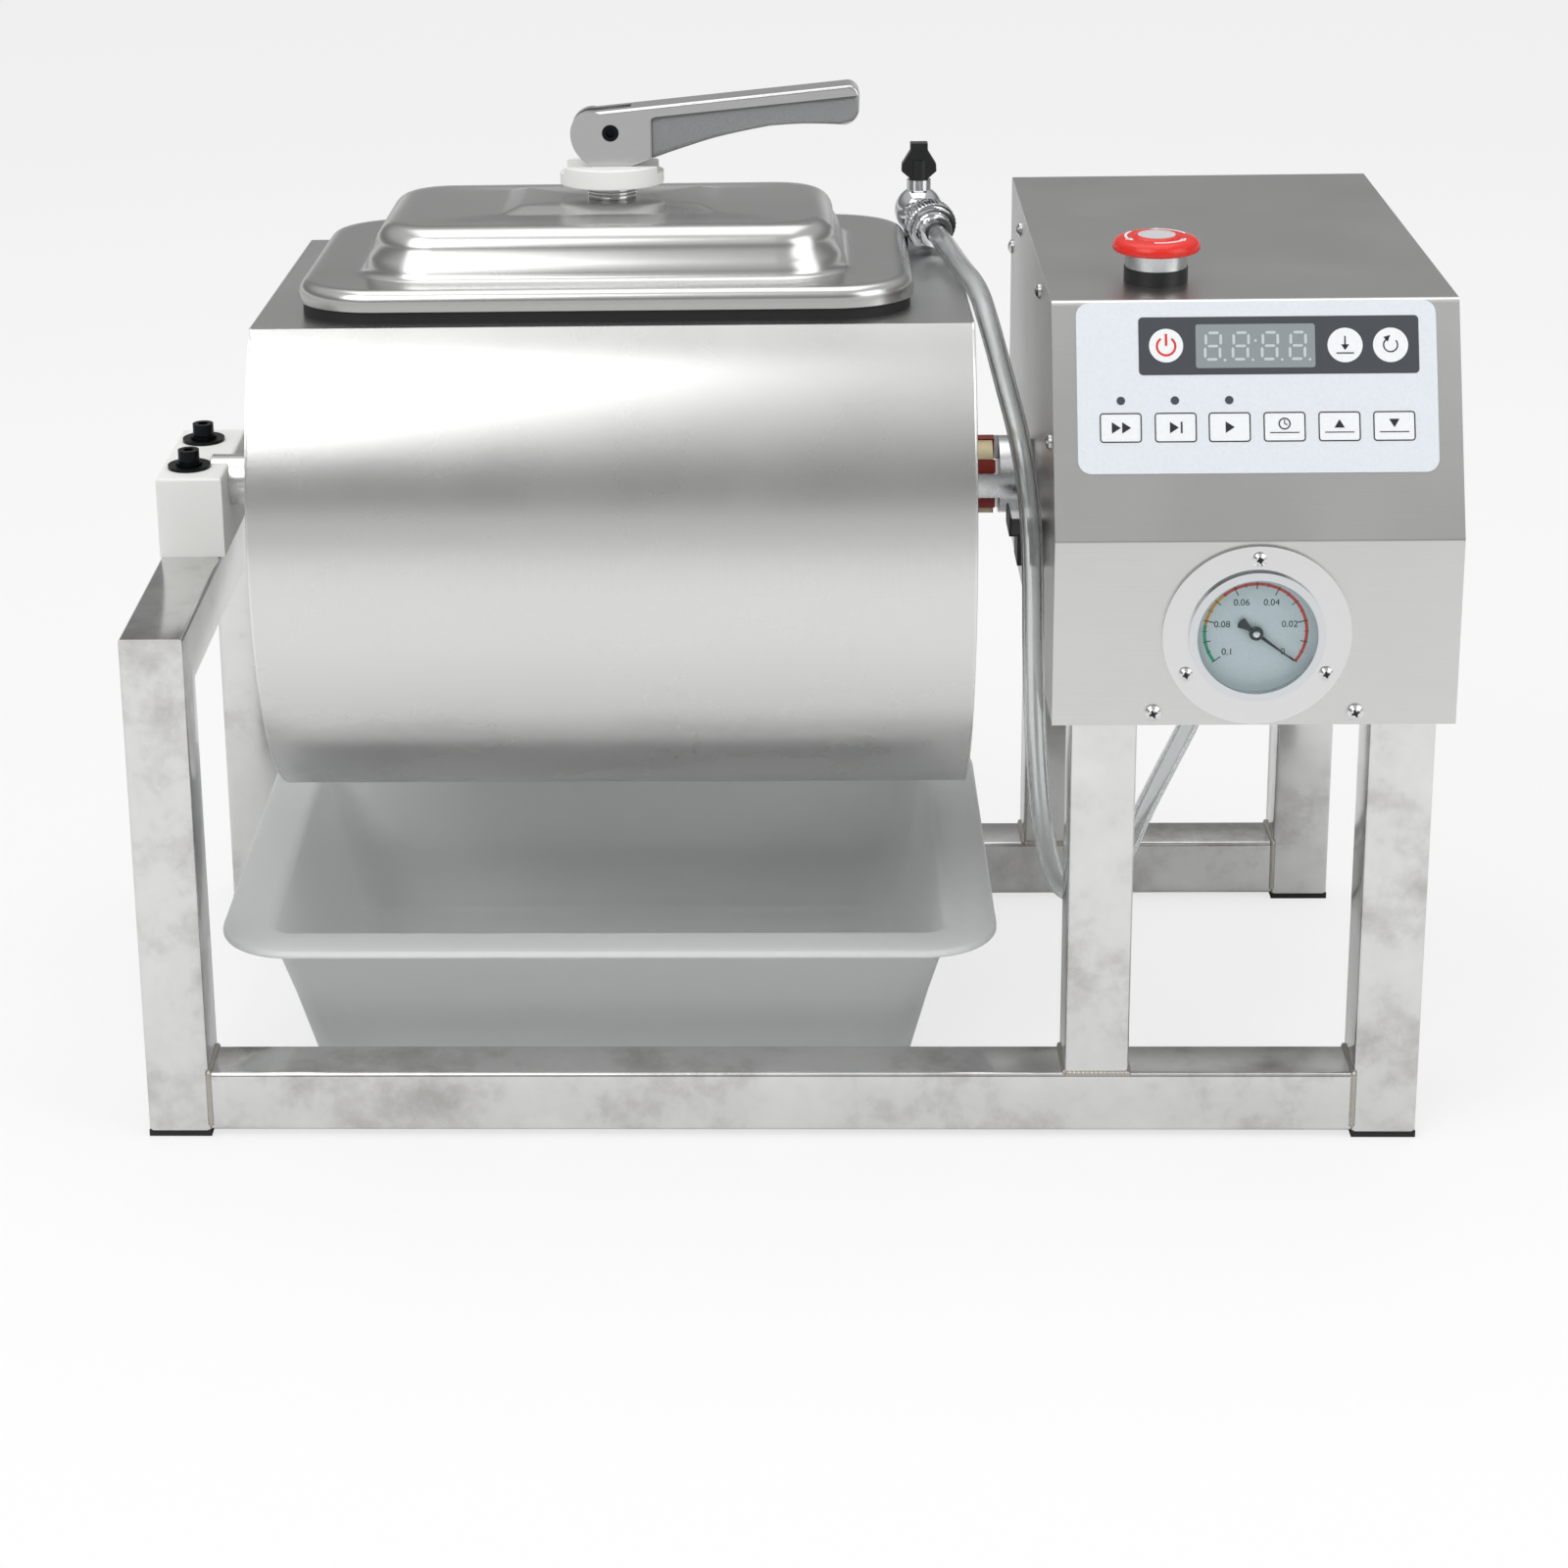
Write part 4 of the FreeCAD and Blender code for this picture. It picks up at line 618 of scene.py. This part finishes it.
def makeBush():
    # a fine thread of 1.5 mm pitch, drawn as even grooves 0.7 mm deep
    z = np.arange(bush["flange"], bush["high"] + 0.01, bush["pitch"] / 4)
    r = bush["radius"] - 0.7 * (0.5 - 0.5 * np.cos(2 * np.pi * (z - z[0]) / bush["pitch"]))
    profile = [(bush["bore"], bush["low"]), (19, bush["low"]),
               (19, bush["flange"])] + list(zip(r, z)) + [(bush["bore"], bush["high"])]
    piece = turnedPiece("threaded_collar", profile, lambda p: onDrum(np.asarray(p) + (bush["x"], 0, 0)),
                        brightSteel, "drum", 48)
    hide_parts("threaded_bush")


coupler = {"centre": (70.3, 82.0, 396.0), "way": (0.25, -0.945, -0.18), "ridges": 36}


def alongOutlet(points):
    # third axis along the outlet, from the valve's centre, in millimetres, to metres
    way = np.array(coupler["way"]) / np.linalg.norm(coupler["way"])
    side = np.cross(way, (0, 0, 1.0))
    side /= np.linalg.norm(side)
    up = np.cross(side, way)
    p = np.asarray(points, float)
    placed = np.array(coupler["centre"]) + p[..., :1] * side + p[..., 1:2] * up + p[..., 2:3] * way
    return placed * millimetre


def makeCoupler():
    # push-fit sleeve: knurled ring, stepped collars and a plain nose round the hose
    profile = [(6.2, 13.5), (11.2, 13.5), (11.6, 14), (11.6, 15.6), (11.1, 15.9), (12.2, 16.3), (12.6, 16.8),
               (12.6, 20), (12.6, 22.4),
               (12.1, 23), (11.3, 23.1), (11.3, 24.4), (10.2, 24.9), (9.0, 25), (8.4, 25.6), (8.4, 29.3),
               (7.9, 30), (5.3, 30), (5.3, 26)]

    def knurl(angle, row):
        # ridges on the wide ring only
        ridge = 0.35 * np.abs(np.sin(coupler["ridges"] * angle / 2)) - 0.2
        return np.where((row > 5) & (row < 9), ridge, 0)

    piece = turnedPiece("knurled_coupler", profile, alongOutlet, chromePlate, "drum", 144, knurl)
    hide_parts("hose_coupler")


def makeStopHead():
    # mushroom with a shallow groove round a raised centre; three curved arrows show the way to twist
    profile = [(0, 19.3), (15.4, 19.3), (15.5, 19.1), (15.5, 14.6), (15.8, 14.5), (18.9, 14.5), (19.7, 14.9),
               (20, 15.8), (19.9, 17.2),
               (19.3, 18.7), (18, 19.9), (16, 20.6), (12.6, 21), (11.6, 20.9), (11.1, 20.6), (10.6, 20.9),
               (10.2, 21.3), (9.6, 21.5), (0, 21.5)]
    piece = turnedPiece("stop_mushroom", profile, onStop, stopRed, "stop_head", 96, None, False, 60)
    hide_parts("estop_head")
    arrows = []
    for start in (20, 140, 260):
        arrows.append(arcBand(0, 0, 13.6, 14.7, start, start + 62))
        a = np.radians(np.array([start + 60, start + 60, start + 76]))
        arrows.append(np.stack([np.array([12.6, 15.7, 14.1]) * np.cos(a),
                                np.array([12.6, 15.7, 14.1]) * np.sin(a)], 1))
    plates("twist_arrows", arrows, 20.3, 21.05, onStop, inkWhite, "stop_head")
    plates("stop_centre", [disc(0, 0, 8.6)], 21.3, 21.75, onStop, capGrey, "stop_head")


capGrey = mouldedPlastic("palePlasticCap", "#c9cbcc", 0.4)
makeBush()
makeCoupler()
makeStopHead()


# ---- lever grip and drum seams
grip = {"low": [(19.3, -13), (22, -12.2), (50, -3.2), (76, 2.1), (92, 3), (110, 2.4), (116, 4), (118.4, 8)],
        "offset": 7.46}


def makeGrips():
    # blasted panels in the lever's side recesses, between its lower edge and the line under the polished band
    x = np.linspace(19.5, 118.2, 80)
    base = np.interp(x, *np.array(grip["low"]).T) + 0.35
    top = np.minimum(7.6 + (x - 22) * (10.2 / 108) - 0.5, 30)
    share = np.linspace(0, 1, 8)[:, None]
    for side, name in ((-1, "grip_front"), (1, "grip_rear")):
        rise = side * (grip["offset"] + 0.12 * np.sin(np.pi * share)) * np.ones_like(x)
        grid = np.stack([np.broadcast_to(x - 80.5, rise.shape), rise, 172 + base + (top - base) * share], -1)
        piece = makePiece(name, onDrum(grid), gridFaces(8, 80), leverSand, "lever", True)
        piece.modifiers.new("thickness", "SOLIDIFY").thickness = 0.0002


def makeSeams():
    # ground corner weld where each end plate meets the rolled shell: a fine round edge along the D outline
    radius, high = drumShape["radius"], drumShape["flat"]
    side, start = math.sqrt(radius ** 2 - high ** 2), math.asin(high / radius)
    a = np.linspace(math.pi - start, 2 * math.pi + start, 160)
    arc = np.stack([radius * np.cos(a), radius * np.sin(a)], 1)
    flat = np.stack([np.linspace(side, -side, 60)[1:-1], np.full(58, high)], 1)
    loop = np.concatenate([arc, flat])
    out = np.column_stack([np.zeros(len(loop)), loop / np.linalg.norm(loop, axis=1)[:, None]])
    t = np.linspace(0, 2 * np.pi, 10, endpoint=False)[None, :, None]
    circle = np.cos(t) * np.array([1.0, 0, 0]) + np.sin(t) * out[:, None]
    for name, x in drumShape["seams"].items():
        middle = np.column_stack([np.full(len(loop), x), loop])
        rings = (middle - 0.75 * out)[:, None] + 0.85 * circle
        faces = gridFaces(len(rings), 10, True, True)
        makePiece("seam_" + name, onDrum(rings), faces, seamFinish, "drum", True)


drumShape = {"radius": 150, "flat": 99.2, "seams": {"left": -242.0, "right": 87.2}}
seamFinish = polishedSteel("groundCornerWeld", "#e2e2e1", 0.2, 0.1)
makeGrips()
makeSeams()
print("turned pieces, grips and seams made")

# ---- keypad printing
keypad = {"high": 0.82, "ink": 0.92, "keys": (-61, -36.5, -12.5, 11.9, 36.3, 60.6), "row": 51.3,
          "keySize": (18.7, 13.4),
          "lights": (-60.8, -36.7, -12.5), "lightRow": 63.5, "line": 0.55,
          "power": (-40.2, 88.3, 7.6), "round": ((39.5, 87.9, 7.8), (59.7, 87.8, 7.8)),
          "display": (-0.4, 87.9, 53.2, 19.8, 1.2), "digits": (-19.3, -6.9, 6.1, 18.5), "lean": 0.07}
level = np.array([(-2.5, 0), (-1.8, -0.6), (1.8, -0.6), (2.5, 0), (1.8, 0.6),
                  (-1.8, 0.6)])  # one lying segment
upright = np.array([(0, -2.5), (0.6, -1.8), (0.6, 1.8), (0, 2.5), (-0.6, 1.8),
                    (-0.6, -1.8)])  # one standing one
keypad["segments"] = ((0, 6, level), (0, 0, level), (0, -6, level), (-3.3, 3, upright), (3.3, 3, upright),
                      (-3.3, -3, upright), (3.3, -3, upright))


def playMark(left, y):
    # a solid triangle that points right
    return np.array([(left, y - 2.6), (left + 4, y), (left, y + 2.6)])


def makeKeypad():
    k = keypad
    place, base = onSlope, k["high"]
    w, h = k["keySize"]
    x = k["keys"]
    y = k["row"]
    plates("key_faces", [roundRect(cx, y, w, h, 1.6) for cx in x], 0.5, base, place, keyWhite, "base")
    lines = [half for cx in x for half in frameBand(cx, y, w, h, 1.6, k["line"])]
    icons = [playMark(left, y) for left in (x[0] - 4, x[0] + 0.6, x[1] - 2.6, x[2] - 1.8)]
    icons += [bar(x[1] + 2.6, y - 2.6, x[1] + 2.6, y + 2.6, 0.8),
              arcBand(x[3], y + 1.4, 2.1, 2.7, 0, 359.9, 40)]
    icons += [bar(x[3], y + 1.4, x[3], y + 3.2, 0.45), bar(x[3], y + 1.4, x[3] + 1.3, y + 0.9, 0.45)]
    icons += [bar(cx - 6.5, y - 2.6, cx + 6.5, y - 2.6, 0.45) for cx in x[3:]]
    icons += [np.array([(x[4] - 2.3, y - 0.6), (x[4] + 2.3, y - 0.6), (x[4], y + 3.2)]),
              np.array([(x[5] + 2.3, y + 3.2), (x[5] - 2.3, y + 3.2), (x[5], y - 0.6)])]
    plates("key_lines", lines + icons, base - 0.1, k["ink"], place, inkBlack, "base")
    plates("status_lights", [disc(cx, k["lightRow"], 1.9) for cx in k["lights"]], 0.6, k["ink"], place,
           inkDark, "base")
    px, py = k["power"][:2]
    keys = [disc(cx, cy, r, 56) for cx, cy, r in k["round"] + (k["power"],)]
    plates("round_keys", keys, 0.2, 1.05, place, keyWhite, "base")
    symbol = [arcBand(px, py - 0.3, 3.6, 4.6, 125, 415, 48), bar(px, py - 0.1, px, py + 5.3, 1.1)]
    plates("power_symbol", symbol, 1.0, 1.16, place, inkRed, "base")
    ax, (bx, by) = k["round"][0][0], k["round"][1][:2]
    marks = [arcBand(bx, by, 2.8, 3.4, 110, 400, 40), np.array([(56.6, 91.4), (59.6, 92.2), (58.4, 89.2)])]
    marks += [bar(35.6, 84.3, 43.4, 84.3, 0.55), bar(ax, 86.6, ax, 92, 0.6)]
    marks += [np.array([(37.7, 88.2), (39.5, 85.6), (41.3, 88.2)])]
    plates("round_marks", marks, 1.0, 1.16, place, inkBlack, "base")
    plates("display_face", [roundRect(*k["display"])], 0.3, 1.0, place, displayFace, "base")
    segments = []
    for cx in k["digits"]:
        for dx, dy, strip in k["segments"]:
            segments.append(strip + (cx + dx + k["lean"] * dy, k["display"][1] + dy))
        segments.append(disc(cx + 5.3, 81.6, 0.6, 12))
    segments += [disc(-0.3, 90.3, 0.6, 12)]
    plates("display_segments", segments, 0.95, 1.06, place, displaySegment, "base")


keyWhite = flatInk("whiteKeyFilm", "#f3f6f8", 0.34)
makeKeypad()

# ---- gauge dial
gauge = {"first": -37.0, "sweep": 254.0, "numbers": ("0", "0.02", "0.04", "0.06", "0.08", "0.1"),
         "band": (22.2, 23.6)}


def makeDial():
    g = gauge
    inner, outer = g["band"]
    bands = (("band_red", 0, 0.66, bandRed), ("band_yellow", 0.66, 0.82, bandYellow),
             ("band_green", 0.82, 1, bandGreen))
    for name, start, end, ink in bands:
        band = arcBand(0, 0, inner, outer, g["first"] + g["sweep"] * start, g["first"] + g["sweep"] * end, 60)
        plates(name, [band], -0.1, 0.06, onDial, ink, "base")
    ticks = []
    for k in range(21):
        a = math.radians(g["first"] + g["sweep"] * k / 20)
        long = 4.6 if k % 4 == 0 else (3.4 if k % 2 == 0 else 2.2)
        far, near = outer + 0.3, outer + 0.3 - long
        line = 0.42 if k % 2 == 0 else 0.25
        ticks.append(bar(far * math.cos(a), far * math.sin(a), near * math.cos(a), near * math.sin(a), line))
    plates("dial_ticks", ticks, -0.1, 0.1, onDial, inkBlack, "base")
    for k, text in enumerate(g["numbers"]):
        a = math.radians(g["first"] + g["sweep"] * k / 5)
        curve = bpy.data.curves.new("number", "FONT")
        curve.body, curve.size, curve.extrude = text, 4.3, 0.05
        curve.align_x, curve.align_y = "CENTER", "CENTER"
        text3d = bpy.data.objects.new("number", curve)
        mesh = bpy.data.meshes.new_from_object(text3d)
        points = np.array([v.co for v in mesh.vertices]) + (15.6 * math.cos(a), 15.6 * math.sin(a), 0.06)
        makePiece(f"dial_number_{k}", onDial(points), [list(p.vertices) for p in mesh.polygons], inkBlack,
                  "base", False)
        bpy.data.objects.remove(text3d)


def makeNeedle():
    # a fine tapered pointer with a spade tail, and a small bright hub
    a = math.radians(gauge["first"])
    outline = np.array([(-9.5, -1.0), (-8.6, -2.6), (-4, -1.1), (3, -0.75), (21.8, -0.22), (21.8, 0.22),
                        (3, 0.75), (-4, 1.1), (-8.6, 2.6), (-9.5, 1.0)])
    turn = np.array([(math.cos(a), math.sin(a)), (-math.sin(a), math.cos(a))])
    piece = plates("needle_pointer", [outline @ turn], 1.6, 2.3, onDial, needleInk, "needle")
    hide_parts("gauge_needle")
    turnedPiece("needle_hub", [(0, 1.1), (2.6, 1.1), (3.2, 1.3), (3.2, 2.5), (2.6, 2.9), (1.6, 3.05),
                               (0, 3.1)],
                onDial, needleInk, "needle", 40, None, False)
    turnedPiece("needle_cap", [(0, 3.0), (1.5, 3.0), (1.5, 3.2), (1.1, 3.35), (0, 3.4)], onDial, brightSteel,
                "needle", 32, None, False)


needleInk = mouldedPlastic("greyPaintedNeedle", "#3b3f43", 0.4)
makeDial()
makeNeedle()


# ---- cross recesses in the screws, drawn as flat dark crosses of painted shade
screws = {"front": (-156.35, 215), "frontX": (-45.5, 45.5), "size": 1.9, "ring": 36.3, "ringFace": -157.95,
          "ringAngles": [90, 210, 330], "ringSize": 1.6, "sideX": (119.65, 306.35),
          "sides": ((83, 385), (-45, 385), (142, 362), (-119, 333))}


def crossOn(centre, across, up, size):
    # a plus sign of two strokes in the plane of two given ways
    loop = np.array([(-1, -0.25), (-0.25, -0.25), (-0.25, -1), (0.25, -1), (0.25, -0.25), (1, -0.25),
                     (1, 0.25), (0.25, 0.25),
                     (0.25, 1), (-0.25, 1), (-0.25, 0.25), (-1, 0.25)]) * size
    return np.array(centre) + loop[:, :1] * np.array(across) + loop[:, 1:] * np.array(up)


def makeCrosses():
    # front screws, the gauge's ring of three, and four on each side of the housing; each recess is a flat
    # dark cross of painted shade
    k, gaugeX, gaugeZ = screws, dial["x"], dial["z"]
    y, z = k["front"]
    crosses = [crossOn((gaugeX + dx, y, z), (0.92, 0, 0.38), (-0.38, 0, 0.92),
                       k["size"]) for dx in k["frontX"]]
    for a in np.radians(k["ringAngles"]):
        centre = (gaugeX + k["ring"] * math.cos(a), k["ringFace"], gaugeZ + k["ring"] * math.sin(a))
        crosses.append(crossOn(centre, (0.97, 0, 0.24), (-0.24, 0, 0.97), k["ringSize"]))
    for x in k["sideX"]:
        crosses += [crossOn((x, y, z), (0, 0.9, 0.44), (0, -0.44, 0.9), k["size"]) for y, z in k["sides"]]
    faces = [list(range(12 * n, 12 * n + 12)) for n in range(len(crosses))]
    makePiece("screw_recess_painted_shade", np.concatenate(crosses) * millimetre, faces, recessShadePaint, "base", False)


# painted shade: a dark flat colour stands in for the shaded hollow of each cross recess
recessShadePaint = castMetal("screwRecessPaintedShade", "#3c3d3f", 0.5)
makeCrosses()
print("keypad, gauge and screw recesses made")

# ---- hose
hose = {"radius": 0.005, "bore": 0.0033, "sides": 24, "route": [
    (0.0778, 0.0535, 0.3906), (0.0829, 0.0345, 0.3869), (0.087, -0.008, 0.3874), (0.0928, -0.042, 0.3866),
                                                                (0.0965, -0.073, 0.377),
    (0.102, -0.096, 0.3573), (0.1087, -0.114, 0.3331), (0.1126, -0.1255, 0.3075), (0.1138, -0.136, 0.2787),
    (0.1138, -0.143, 0.2415), (0.1156, -0.1415, 0.196), (0.120, -0.129, 0.1526), (0.1265, -0.112, 0.119),
    (0.134, -0.102, 0.104), (0.145, -0.088, 0.096), (0.157, -0.073, 0.097), (0.167, -0.060, 0.106),
    (0.175, -0.051, 0.122), (0.188, -0.044, 0.146), (0.204, -0.043, 0.180), (0.204, -0.043, 0.204)]}


def hoseLine():
    # the route's points as a smooth curve, read back as a line of close points
    curve = bpy.data.curves.new("hose_path", "CURVE")
    curve.dimensions = "3D"
    spline = curve.splines.new("NURBS")
    spline.points.add(len(hose["route"]) - 1)
    for point, place in zip(spline.points, hose["route"]):
        point.co = (*place, 1)
    spline.order_u = 3
    spline.use_endpoint_u = True
    spline.resolution_u = 12
    path = bpy.data.objects.new("hose_path", curve)
    bpy.context.scene.collection.objects.link(path)
    line = np.array([v.co for v in bpy.data.meshes.new_from_object(path).vertices], float)
    bpy.data.objects.remove(path)
    return line


def makeHose():
    # out along the skin and back along the bore, closed at both ends
    line, sides = hoseLine(), hose["sides"]
    shell = np.concatenate([tubeAlong(line, hose["radius"], sides),
                            tubeAlong(line, hose["bore"], sides)[::-1]])
    faces = gridFaces(len(shell), sides, True, True)
    piece = makePiece("clear_hose", shell, faces, hoseVinyl, "base", True)
    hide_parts("vacuum_hose")
    length = np.linalg.norm(np.diff(line, axis=0), axis=1).sum()
    print("hose made, length along its line", round(float(length), 4))


makeHose()

# ---- camera, lights and floor
camera = {"place": (-0.00242, -1.63618, 0.78532), "pitch": 17.255, "yaw": -2.554, "roll": 1.161,
          "lens": 79.76,
          "shift": (0.0993, -0.1901)}


def addCamera():
    pitch, yaw, roll = (math.radians(camera[k]) for k in ("pitch", "yaw", "roll"))
    forward = Vector((math.sin(yaw) * math.cos(pitch), math.cos(yaw) * math.cos(pitch), -math.sin(pitch)))
    right = Vector((math.cos(yaw), -math.sin(yaw), 0))
    down = forward.cross(right)
    right, down = (math.cos(roll) * right + math.sin(roll) * down,
                   -math.sin(roll) * right + math.cos(roll) * down)
    data = bpy.data.cameras.new("studioCamera")
    data.lens, data.sensor_width = camera["lens"], 36
    data.shift_x, data.shift_y = camera["shift"]
    item = bpy.data.objects.new("studioCamera", data)
    item.matrix_world = Matrix.Translation(camera["place"]) @ Matrix((right, -down,
                                                                      -forward)).transposed().to_4x4()
    bpy.context.scene.collection.objects.link(item)
    bpy.context.scene.camera = item


studio = {"lamps": [  # name, place, size, watts
    ("keySoftbox", (-0.9, -1.3, 1.7), 1.4, 16), ("fillSoftbox", (1.4, -0.9, 1.1), 1.2, 8),
                    ("topSoftbox", (0, 0.3, 2.0), 1.6, 10)],
    "sky": [(0.0, "#ffffff"), (0.52, "#fafafa"), (0.56, "#8d8d8d"), (0.66, "#9b9b9b"), (0.78, "#d8d8d8"),
            (1.0, "#efefef")]}


def addStudio():
    for name, place, side, watts in studio["lamps"]:
        data = bpy.data.lights.new(name, "AREA")
        data.shape, data.size, data.energy = "SQUARE", side, watts
        lamp = bpy.data.objects.new(name, data)
        lamp.location = place
        lamp.rotation_euler = (Vector((0, 0, 0.2)) - Vector(place)).to_track_quat("-Z", "Y").to_euler()
        bpy.context.scene.collection.objects.link(lamp)
    world = bpy.data.worlds.new("paleStudio")
    bpy.context.scene.world = world
    world.use_nodes = True
    world.node_tree.nodes.clear()
    place = addNode(world, "ShaderNodeTexCoord")
    split = addNode(world, "ShaderNodeSeparateXYZ", links={"Vector": place.outputs["Generated"]})
    height = addNode(world, "ShaderNodeMapRange", {"From Min": -1.0, "From Max": 1.0},
                     {"Value": split.outputs["Z"]})
    sky = addNode(world, "ShaderNodeValToRGB", links={"Fac": height.outputs["Result"]})
    rampStops(sky, [(stop, linearColour(colour)) for stop, colour in studio["sky"]])
    soft = addNode(world, "ShaderNodeBackground", {"Strength": 0.8}, {"Color": sky.outputs["Color"]})
    white = addNode(world, "ShaderNodeBackground", {"Color": (1, 1, 1, 1), "Strength": 1.0})
    ray = addNode(world, "ShaderNodeLightPath")
    mixed = addNode(world, "ShaderNodeMixShader", links={0: ray.outputs["Is Camera Ray"],
                                                         1: soft.outputs["Background"],
                                                         2: white.outputs["Background"]})
    addNode(world, "ShaderNodeOutputWorld", links={"Surface": mixed.outputs["Shader"]})


def addFloor():
    # a wide pale floor; seen directly it is lifted to near white, and keeps the contact shadow
    size = 6.0
    floor = makePiece("studio_floor", [(-size, -size, 0), (size, -size, 0), (size, size, 0),
                                       (-size, size, 0)], [(0, 1, 2, 3)],
                      None, None, False)
    floor.location.z = -0.0005
    material, shader = startMaterial("paleFloor", {"Base Color": linearColour("#f4f4f4"), "Roughness": 0.7})
    glow = addNode(material, "ShaderNodeEmission", {"Color": (1, 1, 1, 1), "Strength": 1.0})
    ray = addNode(material, "ShaderNodeLightPath")
    amount = addNode(material, "ShaderNodeMath", {"operation": "MULTIPLY", 1: 0.72},
                     {0: ray.outputs["Is Camera Ray"]})
    mixed = addNode(material, "ShaderNodeMixShader", links={0: amount.outputs["Value"],
                                                            1: shader.outputs["BSDF"],
                                                            2: glow.outputs["Emission"]})
    output = next(n for n in material.node_tree.nodes if n.type == "OUTPUT_MATERIAL")
    join(material, mixed.outputs["Shader"], output.inputs["Surface"])
    floor.data.materials.clear()
    floor.data.materials.append(material)


bpy.context.scene.view_settings.view_transform = "Standard"
addCamera()
addStudio()
addFloor()
print("camera and studio set")
